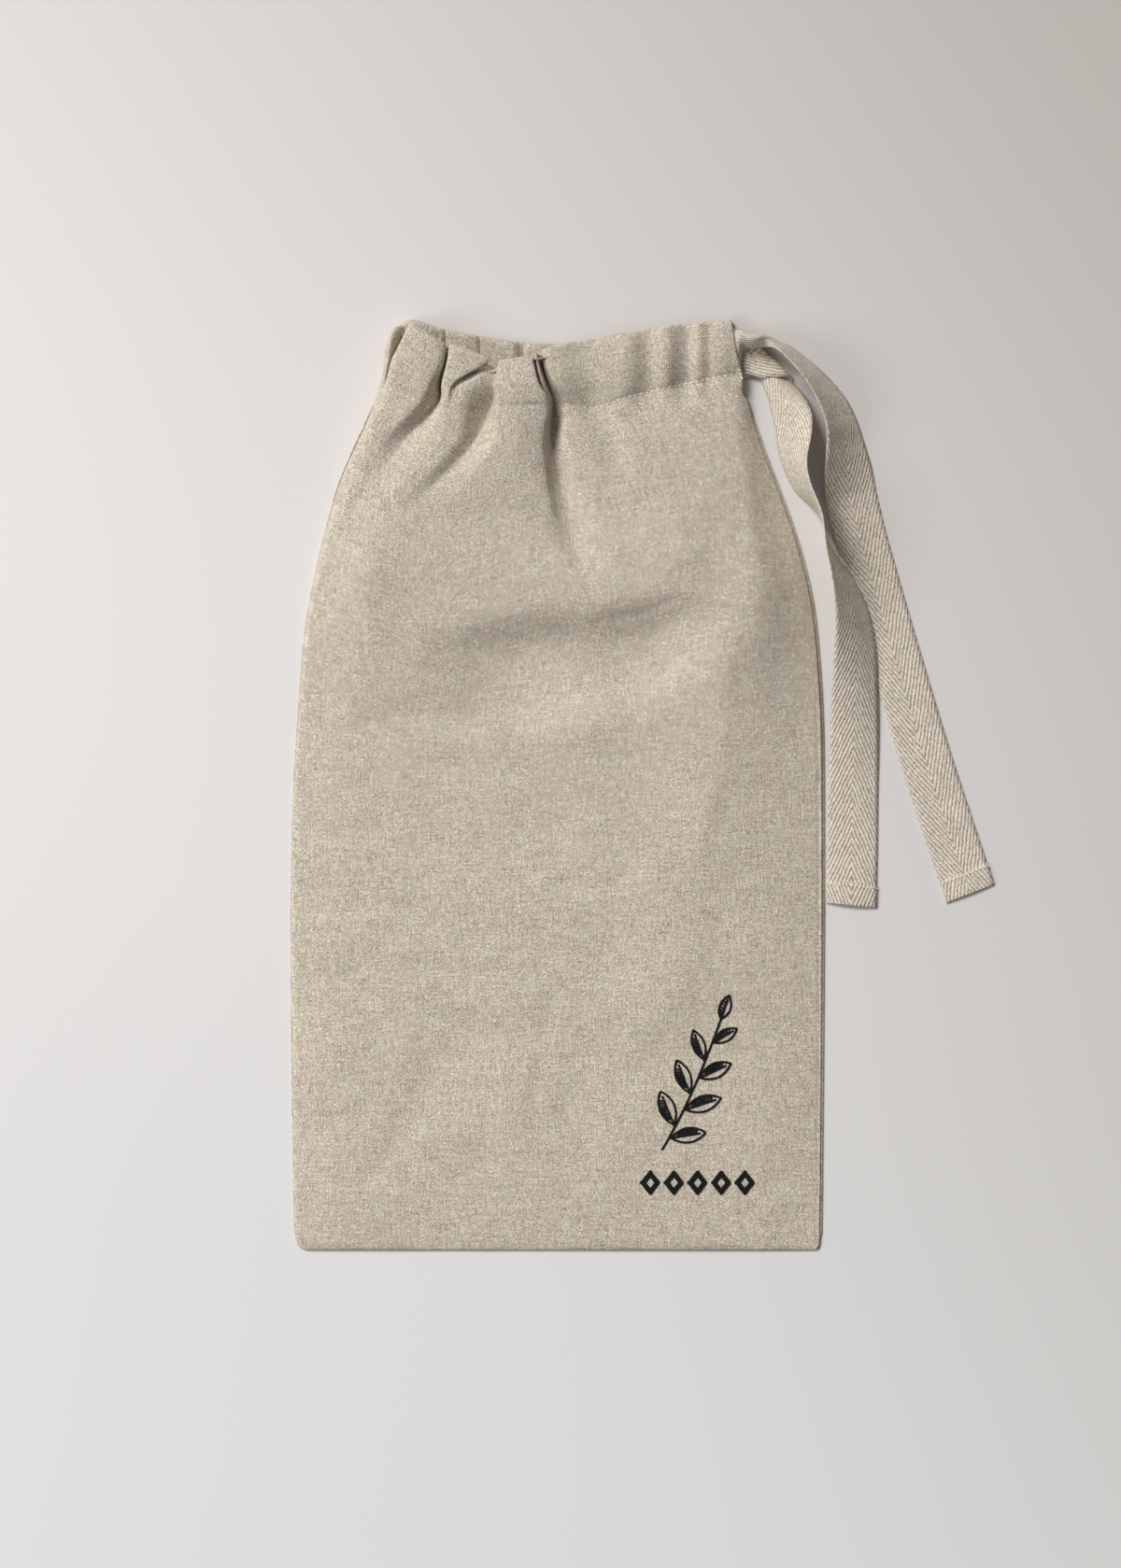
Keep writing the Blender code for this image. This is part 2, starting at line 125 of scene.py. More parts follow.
def curve_through(keys, heights, value):
    """Heights at values of their keys on a smooth curve, which runs on straight past its ends."""
    keys, heights = np.asarray(keys, float), np.asarray(heights, float)
    slopes = np.empty_like(heights)
    slopes[1:-1] = (heights[2:] - heights[:-2]) / (keys[2:] - keys[:-2])
    slopes[0] = (heights[1] - heights[0]) / (keys[1] - keys[0])
    slopes[-1] = (heights[-1] - heights[-2]) / (keys[-1] - keys[-2])
    inside = np.clip(value, keys[0], keys[-1])
    i = np.clip(np.searchsorted(keys, inside, side="right") - 1, 0, len(keys) - 2)
    span = keys[i + 1] - keys[i]
    t = (inside - keys[i]) / span
    found = heights[i] * (2 * t**3 - 3 * t**2 + 1) + heights[i + 1] * (3 * t**2 - 2 * t**3)
    found = found + span * (slopes[i] * (t**3 - 2 * t**2 + t) + slopes[i + 1] * (t**3 - t**2))
    return found + np.where(value > keys[-1], slopes[-1], slopes[0]) * (value - inside)


def along(rows, key, column, value):
    """A column of a table at values of its key, level past the table's ends."""
    keys = [getattr(row, key) for row in rows]
    return curve_through(keys, [getattr(row, column) for row in rows], np.clip(value, keys[0], keys[-1]))


def quarter_turn(distance, width):
    """0 at an edge and 1 past its width, on a quarter of a circle."""
    t = np.clip(distance / width, 0.0, 1.0)
    return np.sqrt(1 - (1 - t) ** 2)


def seam_level(y):
    return mix(REST + SEAM_HALF, SEAM_LEVEL, smooth(*SEAM_RISE, y))


def cloth_normals(grid):
    """Unit normals of a grid of points, upwards where it lies flat."""
    normal = np.cross(np.gradient(grid, axis=1), np.gradient(grid, axis=0))
    return normal / np.linalg.norm(normal, axis=2, keepdims=True)


def cloth_lengths(grid):
    """The place of each point on the flat cloth, along its threads from the bottom edge's middle."""
    middle = grid.shape[1] // 2
    across = np.linalg.norm(np.diff(grid, axis=1), axis=2)
    across = np.concatenate([np.zeros((len(grid), 1)), np.cumsum(across, axis=1)], axis=1)
    across += grid[:, middle : middle + 1, 0] - across[:, middle : middle + 1]
    length = np.linalg.norm(np.diff(grid, axis=0), axis=2)
    length = np.concatenate([np.zeros((1, grid.shape[1])), np.cumsum(length, axis=0)], axis=0)
    return np.stack([across, length + grid[0, :, 1]], axis=2)


def sheet_piece(name, grid, flat, thickness, material):
    """A cloth piece through a grid of points, with its place on the flat cloth as its UV map, in metres."""
    rows, columns, _ = grid.shape
    index = np.arange(rows * columns).reshape(rows, columns)
    corners = [index[:-1, :-1], index[:-1, 1:], index[1:, 1:], index[1:, :-1]]
    quads = np.stack(corners, axis=2).reshape(-1, 4)
    mesh = bpy.data.meshes.new(name)
    mesh.from_pydata((grid.reshape(-1, 3) * MM).tolist(), [], quads.tolist())
    places = mesh.uv_layers.new(name="cloth")
    places.data.foreach_set("uv", (flat.reshape(-1, 2)[quads.reshape(-1)] * MM).astype(np.float32).ravel())
    mesh.shade_smooth()
    mesh.materials.append(material)
    piece = bpy.data.objects.new(name, mesh)
    bpy.context.scene.collection.objects.link(piece)
    solid = piece.modifiers.new("cloth thickness", "SOLIDIFY")
    solid.thickness = thickness * MM
    solid.offset = 0.0
    return piece


class Value:
    """A shader value that takes part in expressions: each operator adds its Math node."""

    def __init__(self, finish, socket):
        self.finish, self.socket = finish, socket

    def calculate(self, operation, first, second=0.0):
        return self.finish.node("ShaderNodeMath", {"operation": operation}, {0: first, 1: second})

    def __add__(self, other):
        return self.calculate("ADD", self, other)

    def __sub__(self, other):
        return self.calculate("SUBTRACT", self, other)

    def __rsub__(self, other):
        return self.calculate("SUBTRACT", other, self)

    def __mul__(self, other):
        return self.calculate("MULTIPLY", self, other)

    def __pow__(self, other):
        return self.calculate("POWER", self, other)

    def __abs__(self):
        return self.calculate("ABSOLUTE", self)

    __radd__, __rmul__ = __add__, __mul__

    def sine(self):
        return self.calculate("SINE", self)

    def smallest(self, other):
        return self.calculate("MINIMUM", self, other)

    def largest(self, other):
        return self.calculate("MAXIMUM", self, other)


class Finish:
    """A material and the nodes that make it."""

    def __init__(self, name, roughness, sheen=0.0):
        self.material = bpy.data.materials.new(name)
        self.material.use_nodes = True
        self.tree = self.material.node_tree
        self.shader = self.tree.nodes["Principled BSDF"]
        self.shader.inputs["Roughness"].default_value = roughness
        self.shader.inputs["Specular IOR Level"].default_value = 0.25
        self.shader.inputs["Sheen Weight"].default_value = sheen
        self.shader.inputs["Sheen Roughness"].default_value = 0.6

    def node(self, kind, settings, sockets, output=0):
        """Adds a node with its settings and its sockets' values or links. Returns one of its outputs."""
        added = self.tree.nodes.new(kind)
        for name, setting in settings.items():
            setattr(added, name, setting)
        for name, value in sockets.items():
            if isinstance(value, Value):
                self.tree.links.new(value.socket, added.inputs[name])
            else:
                added.inputs[name].default_value = value
        return Value(self, added.outputs[output])

    def feed(self, name, value):
        self.tree.links.new(value.socket, self.shader.inputs[name])

    def place_on_cloth(self):
        return self.node("ShaderNodeUVMap", {"uv_map": "cloth"}, {})

    def parts_of(self, vector):
        split = self.node("ShaderNodeSeparateXYZ", {}, {0: vector})
        return split, Value(self, split.socket.node.outputs[1])

    def vector(self, operation, *terms):
        return self.node("ShaderNodeVectorMath", {"operation": operation}, dict(enumerate(terms)))

    def streaks(self, place, across, length, detail=1.0, shift=0.0):
        """Noise from 0 to 1 in streaks, whose sizes along the two threads are given in millimetres."""
        size = (1 / (across * MM), 1 / (length * MM), 1.0)
        moved = self.vector("ADD", self.vector("MULTIPLY", place, size), (shift,) * 3)
        return self.node("ShaderNodeTexNoise", {}, {"Vector": moved, "Scale": 1.0, "Detail": detail})

    def floats(self, place, across, length, shift=0.0):
        """A value and a colour of its own for each short stretch of thread on the cloth's face."""
        size = (across * MM, length * MM, 1.0)
        cell = self.vector("SNAP", self.vector("ADD", place, (shift,) * 3), size)
        value = self.node("ShaderNodeTexWhiteNoise", {"noise_dimensions": "2D"}, {"Vector": cell})
        return value, Value(self, value.socket.node.outputs["Color"])

    def tinted(self, colour, tint, amount):
        """A colour with its red, green and blue shifted a little by a random colour."""
        shade = self.vector("MULTIPLY_ADD", tint, (amount,) * 3, (1 - amount / 2,) * 3)
        return self.vector("MULTIPLY", colour, shade)

    def step(self, value, low, high):
        """0 where a value is below low, 1 above high."""
        sockets = {"Value": value, "From Min": low, "From Max": high, "To Min": 0.0, "To Max": 1.0}
        return self.node("ShaderNodeMapRange", {"interpolation_type": "SMOOTHSTEP"}, sockets)

    def flecks(self, place, fleck):
        """1 in the sparse streaks where the noise is high, 0 between them."""
        noise_there = self.streaks(place, fleck.across, fleck.length, 0.0, fleck.shift)
        return self.step(noise_there, fleck.low, fleck.high)

    def blend(self, share, first, second):
        sockets = {0: share, 6: first, 7: second}
        return self.node("ShaderNodeMix", {"data_type": "RGBA"}, sockets, 2)

    def raise_by(self, height, distance):
        """Feeds a height in millimetres to the surface's bump."""
        sockets = {"Height": height, "Distance": distance * MM, "Strength": 1.0}
        self.feed("Normal", self.node("ShaderNodeBump", {}, sockets))


LINEN_DARK = (0.255, 0.142, 0.096, 1.0)
LINEN_LIGHT = (0.832, 0.813, 0.682, 1.0)
LINEN_WARM = (0.463, 0.372, 0.285, 1.0)
LINEN_MIDDLE = 0.575  # where the even cloth lies between its darkest and its lightest colour
THREAD_PITCH = 0.46
# Noise in streaks along the threads, with how strongly each lightens and darkens the cloth.
Streak = namedtuple("Streak", "across length detail shift weight")
LINEN_STREAKS = (
    Streak(0.6, 10.0, 0.0, 0.0, 0.37),  # uneven warp
    Streak(10.0, 0.6, 0.0, 7.3, 0.31),  # uneven weft
    Streak(0.8, 60.0, 1.0, 57.0, 0.1),  # warp threads that differ over a long way
    Streak(70.0, 0.8, 1.0, 67.0, 0.08),  # and weft threads
    Streak(5.0, 5.0, 3.0, 11.7, 0.03),  # mottle
)
Fleck = namedtuple("Fleck", "across length shift low high")
DARK_WARP = Fleck(0.6, 7.0, 21.0, 0.60, 0.78)
DARK_WEFT = Fleck(7.0, 0.6, 33.0, 0.60, 0.78)
SLUBS = Fleck(6.0, 0.6, 41.0, 0.72, 0.82)
SPECKS = Fleck(0.6, 0.6, 47.0, 0.80, 0.86)
WARP_FLOAT = (0.27, 0.54)  # size of a warp thread's stretch on the face
WEFT_FLOAT = (0.54, 0.27)
FLOAT_WEIGHT = 0.5
WEAVE_WEIGHT = 0.4
SLUB_WEIGHT = 0.09
DARK_WEIGHT = 0.13
LINEN_TINT = 0.25  # how much the colour differs from one stretch of thread to the next


def linen_finish(name):
    """Washed plain weave of uneven flax threads, with slubs, specks and a little colour between threads."""
    cloth = Finish(name, 0.88, sheen=0.1)
    place = cloth.place_on_cloth()
    streaks = [cloth.streaks(place, *streak[:4]) for streak in LINEN_STREAKS]
    warp, weft, _, _, mottle = streaks
    warp_float, warp_tint = cloth.floats(place, *WARP_FLOAT)
    weft_float, weft_tint = cloth.floats(place, *WEFT_FLOAT, shift=0.31)
    dark = cloth.flecks(place, DARK_WARP) + cloth.flecks(place, DARK_WEFT)
    slub = cloth.flecks(place, SLUBS)
    u, v = cloth.parts_of(place)
    turn = math.pi / (THREAD_PITCH * MM)
    weave = (u * turn).sine() * (v * turn).sine()
    tone = sum(((there - 0.5) * row.weight for there, row in zip(streaks, LINEN_STREAKS)), LINEN_MIDDLE)
    tone = tone + (warp_float - 0.5) * FLOAT_WEIGHT + (weft_float - 0.5) * FLOAT_WEIGHT
    tone = tone + weave * WEAVE_WEIGHT + slub * SLUB_WEIGHT - dark * DARK_WEIGHT
    colour = cloth.blend(tone.smallest(1.0).largest(0.0), LINEN_DARK, LINEN_LIGHT)
    colour = cloth.blend(cloth.step(mottle, 0.45, 0.75) * 0.06, colour, LINEN_WARM)
    colour = cloth.blend(cloth.flecks(place, SPECKS) * 0.6, colour, LINEN_DARK)
    colour = cloth.tinted(cloth.tinted(colour, warp_tint, LINEN_TINT), weft_tint, LINEN_TINT)
    cloth.feed("Base Color", colour)
    cloth.raise_by(warp * 0.16 + weft * 0.16 + (warp_float + weft_float) * 0.24 + slub * 0.12, 0.4)
    return cloth.material


def turned_over(outer, normals, depths, layer, inwards):
    """The rows that follow a panel's outer layer: round its folded edge, then down inside it."""
    up = outer[-1] - outer[-2]
    up /= np.linalg.norm(up, axis=1, keepdims=True)
    fold = [
        outer[-1] + normals[-1] * inwards * layer * (1 - math.cos(angle)) + up * layer * math.sin(angle)
        for angle in np.radians((30.0, 60.0, 90.0, 120.0, 150.0))
    ]
    inner = [outer[-1 - j] + normals[-1 - j] * inwards * 2 * layer for j in range(depths)]
    return np.array(fold), np.array(inner)


def back_outer():
    """The back panel's outer layer, flat but for its turn at the left seam."""
    columns, body, casing = BACK_GRID
    share = (1 - np.cos(np.linspace(0.0, math.pi, columns))) / 2
    share = mix(share, np.linspace(0.0, 1.0, columns), 0.8)
    y = np.concatenate([np.linspace(BOTTOM, BODY_END, body), np.full(casing, MOUTH)])
    y = y[:, None] + 0 * share[None, :]
    depth = np.linspace(CASING, LAYER, casing)[:, None]
    for _ in range(4):
        left, right = along(OUTLINE, "y", "left", y), along(OUTLINE, "y", "right", y)
        x = mix(left, right, share[None, :])
        y[body:] = along(BACK_TOP, "x", "y", x[body:]) - depth
    y[:body] = np.minimum(y[:body], y[body] - 1.0)
    turn = mix(*LEFT_TURN, smooth(*SEAM_RISE, y))
    z = mix(seam_level(y) - SEAM_HALF, REST, quarter_turn(x - left, turn))
    return np.stack([x, y, z], axis=2)


def pleats_at(x):
    height = BACK_LIFT * (1 - smooth(*BACK_LIFT_ENDS, x))
    for pleat in BACK_PLEATS:
        sunk = smooth(pleat.x - pleat.run, pleat.x, x) * (1 - smooth(pleat.x, pleat.x + pleat.step, x))
        height = height - pleat.sink * sunk
    return height


def back_grid():
    outer = back_outer()
    fold, inner = turned_over(outer, cloth_normals(outer), BACK_GRID[2], LAYER, 1)
    depth = np.linspace(0.0, 1.0, BACK_GRID[2])[:, None]
    inner[:, :, 2] += pleats_at(inner[:, :, 0]) * (1 - smooth(0.55, 1.0, depth))
    fold[:, :, 2] += pleats_at(fold[:, :, 0]) * np.linspace(0.15, 0.95, len(fold))[:, None]
    return np.concatenate([outer, fold, inner])


linen = linen_finish("washed linen")
back_cloth = back_grid()
back_panel = sheet_piece("back_panel_linen", back_cloth, cloth_lengths(back_cloth), CLOTH, linen)
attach(back_panel, "root")
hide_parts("back_panel")


# The front panel -------------------------------------------------------------------------------------
# The same cut of linen, laid over the back and sewn to it down both sides and along the bottom. The drawn
# tape bunches the left half of its casing into folds, which run out over the bag as troughs and swells.

FRONT_REST = 1.02  # height of the front cloth's middle where it lies on the back panel
SEAM_INSET = (0.9, 1.2)  # how far the front's seam lies inside the back's at the left and right
HEM_LAYER = 0.95  # half the distance between the outer and the turned-in cloth at the folded edge
HEM_DEPTH = 1.9  # the turned-in cloth's depth below the lowest outer cloth beside it, with the tape between
HEM_REACH = 3.2  # it lies under everything this far to either side
HEM_LOWEST = 3.8  # the turned-in cloth never lies lower than this

# Height of the front cloth over the gathers, the middle and the flat right part.
Level = namedtuple("Level", "y left middle right")
LEVEL_AT = (-66.0, -12.0, 34.0)
FRONT_LEVEL = (
    Level(-226.0, 3.6, 3.8, 3.8),
    Level(-140.0, 4.2, 5.0, 4.8),
    Level(-40.0, 4.8, 6.0, 6.0),
    Level(40.0, 6.4, 7.4, 8.0),
    Level(80.0, 10.4, 11.8, 13.2),
    Level(120.0, 13.2, 13.6, 15.2),
    Level(160.0, 13.4, 12.8, 12.6),
    Level(190.0, 13.2, 12.6, 9.6),
    Level(226.0, 13.2, 12.6, 9.4),
)
# How the cloth falls to its side seams: a share of it in a quick turn, the rest in a slope of a width.
Fall = namedtuple("Fall", "y turn left left_share right right_share")
SIDE_FALLS = (
    Fall(-226.0, 2.4, 22.0, 0.20, 28.0, 0.08),
    Fall(-60.0, 2.4, 28.0, 0.20, 40.0, 0.08),
    Fall(40.0, 2.4, 36.0, 0.22, 34.0, 0.10),
    Fall(100.0, 2.4, 30.0, 0.40, 27.0, 0.10),
    Fall(150.0, 2.2, 16.0, 0.55, 13.0, 0.20),
    Fall(186.0, 1.8, 6.0, 0.80, 6.0, 0.60),
    Fall(226.0, 1.6, 6.0, 0.95, 6.0, 0.95),
)
FALL_START = -0.35  # where on its S the slope meets the seam
MOUTH_RISE = (172.0, 200.0)  # the right edge opens, and both seams' insets end, between these
SEAM_RIDGE = (0.6, 1.7)  # the right seam's own ridge at the very edge: its height and width
RIDGE_START = (-110.0, -40.0)  # the ridge grows between these
BOTTOM_TURN = 5.0  # width of the quick turn at the bottom seam
BOTTOM_FALL = 32.0  # width of the slope that runs down to it

# Soft troughs and swells over the body, each through three places, with half widths below and above it.
Crease = namedtuple("Crease", "name x0 y0 x1 y1 x2 y2 height below above fade")
CREASES = (
    Crease("long trough", -30.0, 64.0, 10.0, 67.0, 50.0, 72.0, -7.8, 48.0, 23.0, 40.0),
    Crease("trough's sharp end", 24.0, 81.0, 40.0, 83.5, 56.0, 90.0, -0.9, 3.5, 3.0, 9.0),
    Crease("short trough", -84.0, 34.0, -62.0, 33.0, -42.0, 32.0, -1.8, 14.0, 12.0, 16.0),
    Crease("shoulder swell", 14.0, 114.0, 38.0, 118.0, 62.0, 122.0, 1.7, 28.0, 26.0, 20.0),
    Crease("waist swell", 0.0, 30.0, 34.0, 38.0, 72.0, 52.0, 1.7, 24.0, 16.0, 24.0),
    Crease("left crease", -124.0, -23.0, -100.0, -22.0, -78.0, -18.0, -1.2, 8.0, 5.0, 12.0),
    Crease("lower left crease", -124.0, -60.0, -98.0, -59.0, -70.0, -60.0, -1.0, 8.0, 5.0, 12.0),
    Crease("left dimple", -124.0, -94.0, -112.0, -94.0, -100.0, -92.0, -0.9, 8.0, 5.0, 8.0),
    Crease("middle crease", -70.0, -88.0, -42.0, -90.0, -16.0, -94.0, -1.1, 8.0, 5.0, 14.0),
    Crease("low crease", -64.0, -112.0, -40.0, -117.0, -16.0, -122.0, -0.9, 9.0, 5.0, 12.0),
    Crease("upper ripple", -70.0, 12.0, -42.0, 8.0, -18.0, 6.0, -0.9, 9.0, 6.0, 12.0),
    Crease("middle dimple", 2.0, -48.0, 16.0, -48.0, 30.0, -46.0, -1.0, 8.0, 6.0, 10.0),
)
# Folds that run up and down the body: x at three heights, with half widths to the left and right.
Fold = namedtuple("Fold", "name y0 x0 y1 x1 y2 x2 height left right fade")
BODY_FOLDS = (
    Fold("right ridge", 70.0, 82.0, 0.0, 72.0, -104.0, 50.0, 2.4, 44.0, 32.0, 34.0),
    Fold("right ridge's crest", 68.0, 83.0, 30.0, 81.5, -30.0, 70.0, 0.4, 12.0, 6.0, 20.0),
    Fold("lower left fold", -140.0, -62.0, -165.0, -75.0, -192.0, -90.0, -0.55, 10.0, 18.0, 14.0),
    Fold("lower middle fold", -108.0, -6.0, -136.0, -8.0, -168.0, -12.0, -0.55, 7.0, 9.0, 14.0),
    Fold("groove's run-out", 148.0, 1.5, 130.0, 6.0, 110.0, 12.0, -2.6, 10.0, 15.0, 14.0),
    Fold("hollow by the groove", 188.0, 17.0, 170.0, 24.0, 152.0, 30.0, -2.0, 12.0, 11.0, 10.0),
    Fold("hollow by the left seam", 166.0, -86.0, 132.0, -99.0, 108.0, -107.0, -1.8, 8.0, 22.0, 14.0),
)
# Uneven swells that all washed linen keeps, and the size in millimetres that each is worked out over.
Rumple = namedtuple("Rumple", "height size seed")
RUMPLES = (Rumple(1.4, 36.0, 3.0), Rumple(0.36, 14.0, 8.0), Rumple(0.06, 5.5, 15.0))
RUMPLES_CALM = (140.0, 180.0)  # the gathers pull them smoother between these

# The gathers, as lines that run down from the mouth. Each has its places across the bag and its heights at
# the stations, the y of its folded edge and of its stitches, and how round the cloth turns there.
STATIONS = (130.0, 165.0, 186.0, 195.0, 205.0, 214.0)
STATIONS_END = 216.0  # heights stay level above this
LINES_START = -40.0  # below this the lines are spread evenly across the bag
Line = namedtuple("Line", "name round columns top stitch x z")
GATHERS = (
    Line("left rim", 1.0, 8, 219.0, 191.0,
         None, (8.6, 11.0, 11.6, 12.2, 14.0, 16.0)),
    Line("hollow's bank", 0.4, 6, 221.4, 191.5,
         (-110.2, -97.2, -87.0, -84.9, -82.6, -81.0), (9.0, 11.6, 12.8, 13.4, 14.4, 15.4)),
    Line("hollow", 0.5, 6, 223.0, 192.0,
         (-109.0, -96.0, -85.6, -83.8, -80.4, -75.8), (9.6, 12.2, 13.6, 13.0, 7.2, 4.6)),
    Line("left facet's edge", 0.3, 6, 223.9, 192.4,
         (-107.6, -94.2, -84.4, -82.6, -80.6, -76.2), (10.2, 13.2, 15.2, 16.6, 18.0, 18.4)),
    Line("facet's middle", 0.8, 6, 219.2, 189.4,
         (-106.4, -90.6, -76.4, -73.4, -70.8, -66.2), (10.8, 13.8, 16.2, 17.8, 19.2, 19.4)),
    Line("left facet's shoulder", 0.6, 8, 214.5, 186.0,
         (-105.2, -86.0, -67.4, -62.4, -57.0, -54.8), (11.4, 14.2, 17.0, 17.8, 17.6, 17.0)),
    Line("left valley", 0.5, 6, 212.4, 182.4,
         (-101.5, -76.5, -57.8, -56.6, -54.0, -53.2), (12.4, 11.4, 6.4, 5.4, 7.0, 9.0)),
    Line("flap's left edge", 0.35, 8, 213.8, 181.6,
         (-96.0, -64.0, -55.8, -55.4, -53.1, -51.7), (12.6, 14.2, 16.4, 17.8, 18.8, 19.0)),
    Line("flap's right edge", 0.3, 4, 206.8, 181.4,
         (-91.0, -58.0, -53.0, -50.8, -34.4, -21.0), (13.0, 15.2, 17.2, 18.2, 18.4, 18.0)),
    Line("crevice", 0.45, 6, 204.3, 181.4,
         (-89.0, -56.6, -52.0, -50.0, -33.6, -24.0), (13.0, 15.2, 17.0, 15.4, 8.6, 7.6)),
    Line("pocket", 0.8, 7, 201.8, 181.6,
         (-85.0, -50.6, -46.0, -43.6, -30.4, -24.0), (13.0, 15.2, 17.0, 16.6, 14.6, 12.6)),
    Line("right valley", 0.6, 7, 202.2, 182.6,
         (-77.0, -41.6, -31.6, -30.4, -29.8, -29.0), (13.4, 10.2, 7.2, 13.0, 15.4, 15.4)),
    Line("ridge's left edge", 0.4, 8, 205.6, 184.0,
         (-60.0, -31.0, -29.2, -29.0, -28.4, -27.6), (13.2, 16.6, 18.8, 19.8, 20.2, 19.6)),
    Line("ridge's crest", 0.9, 8, 207.2, 184.3,
         (-34.0, -20.6, -19.0, -20.0, -20.6, -20.8), (13.4, 17.6, 20.4, 21.0, 21.0, 20.8)),
    Line("ridge's right edge", 0.3, 4, 207.8, 184.6,
         (-2.5, -7.2, -4.6, -9.4, -12.0, -13.4), (12.0, 14.4, 18.2, 19.6, 20.4, 20.4)),
    Line("first slit", 0.5, 4, 206.6, 184.4,
         (-1.2, -6.2, -4.9, -9.7, -12.4, -13.8), (11.6, 12.0, 14.6, 10.6, 8.4, 10.4)),
    Line("strip", 0.5, 4, 209.6, 184.4,
         (0.4, -4.8, -4.2, -7.2, -9.9, -11.0), (11.0, 8.4, 13.6, 16.8, 17.6, 17.2)),
    Line("deep groove", 0.6, 7, 209.4, 184.2,
         (4.8, -2.8, -2.0, -5.0, -8.2, -9.6), (10.6, 4.4, 3.2, 4.6, 8.0, 11.8)),
    Line("right bank", 0.6, 10, 211.2, 185.4,
         (17.0, 4.8, 3.4, -1.4, -6.0, -8.0), (12.4, 11.6, 12.2, 13.6, 14.8, 15.4)),
    Line("flat casing's start", 1.0, 14, 215.8, 183.4,
         (34.0, 18.0, 14.0, 13.0, 12.0, 12.0), (12.8, 12.0, 11.2, 11.8, 13.0, 13.8)),
    Line("flat casing", 1.0, 18, 219.6, 188.9,
         (56.0, 42.0, 36.0, 35.0, 34.0, 34.0), (13.4, 11.6, 9.6, 10.2, 11.6, 12.8)),
    Line("casing's right part", 1.0, 22, 223.6, 195.0,
         (84.0, 70.0, 64.0, 62.0, 61.0, 60.0), (12.4, 10.4, 7.8, 8.0, 9.4, 10.6)),
    Line("right rim", 1.0, 0, 225.8, 200.7,
         None, (7.0, 6.6, 6.2, 6.2, 6.8, 7.4)),
)
LOFT_ENDS = (92.0, 130.0)  # the gathers' own heights die out over the body between these
# Small puckers across the flat part of the casing: trough or crest at x, its half widths, its height.
Pucker = namedtuple("Pucker", "x left right height")
PUCKERS = (
    Pucker(16.0, 22.0, 9.0, -1.2),
    Pucker(33.0, 9.0, 7.0, 1.2),
    Pucker(44.5, 8.0, 6.5, -2.2),
    Pucker(53.0, 5.0, 5.0, 1.0),
    Pucker(63.0, 9.5, 6.5, -3.0),
    Pucker(73.5, 5.5, 4.5, -1.4),
    Pucker(81.0, 5.0, 6.0, 0.6),
)
PUCKERS_START = (-0.35, 0.15)  # they begin between these shares of the casing's depth
CASING_CROWN = 2.2  # the tape inside fills the casing out by this
CROWN_START = (-70.0, 0.0)  # from left to right it comes in between these
STITCH_DENT = (0.1, 0.25)  # how deep the stitches draw the cloth in at the left and the right
DENT_CHANGE = (-8.0, 12.0)
CASING_ROWS = 32
NECK_ROWS = 30
NECK_END = 150.0
BODY_MIDDLE = 20.0
BODY_ROWS = (70, 70)  # rows above the body's middle and below it


def bump(distance, left, right):
    """1 on a fold's line and 0 past its half width on either side."""
    half = np.where(distance < 0, left, right)
    return 0.5 + 0.5 * np.cos(math.pi * np.clip(np.abs(distance) / half, 0.0, 1.0))


def between(low, high, fade, value):
    """1 between two ends, dying out past each over the fade."""
    return smooth(low - fade, low + fade * 0.3, value) * (1 - smooth(high - fade * 0.3, high + fade, value))


def rumple_at(x, y, rumple):
    """An uneven swell at one place."""
    return rumple.height * noise.noise(Vector((x / rumple.size, y / rumple.size, rumple.seed)))


def rumples(x, y):
    total = 0 * x
    for rumple in RUMPLES:
        total = total + np.vectorize(rumple_at, otypes=[float], excluded=[2])(x, y, rumple)
    return total


def body_level(x, y):
    """Height of the front cloth without its folds."""
    left, middle, right = (along(FRONT_LEVEL, "y", name, y) for name in Level._fields[1:])
    left_part = mix(left, middle, smooth(LEVEL_AT[0], LEVEL_AT[1], x))
    return mix(left_part, right, smooth(LEVEL_AT[1], LEVEL_AT[2], x))


def body_height(x, y):
    """Height of the front cloth before its seams: its level, its troughs and swells, and its rumples."""
    height = body_level(x, y)
    for crease in CREASES:
        line = curve_through((crease.x0, crease.x1, crease.x2), (crease.y0, crease.y1, crease.y2), x)
        ends = between(crease.x0, crease.x2, crease.fade, x)
        height = height + crease.height * bump(y - line, crease.below, crease.above) * ends
    for fold in BODY_FOLDS:
        line = curve_through((fold.y2, fold.y1, fold.y0), (fold.x2, fold.x1, fold.x0), y)
        ends = between(fold.y2, fold.y0, fold.fade, y)
        height = height + fold.height * bump(x - line, fold.left, fold.right) * ends
    return height + rumples(x, y) * (1 - 0.6 * smooth(*RUMPLES_CALM, y))


def side_rise(distance, y, side):
    """How far the cloth has risen from a side seam, 0 to 1."""
    turn, share = along(SIDE_FALLS, "y", "turn", y), along(SIDE_FALLS, "y", side + "_share", y)
    fall = along(SIDE_FALLS, "y", side, y)
    start = smooth(FALL_START, 1.0, 0.0)
    slope = (smooth(FALL_START, 1.0, distance / fall) - start) / (1 - start)
    return share * quarter_turn(distance, turn) + (1 - share) * np.clip(slope, 0.0, 1.0)


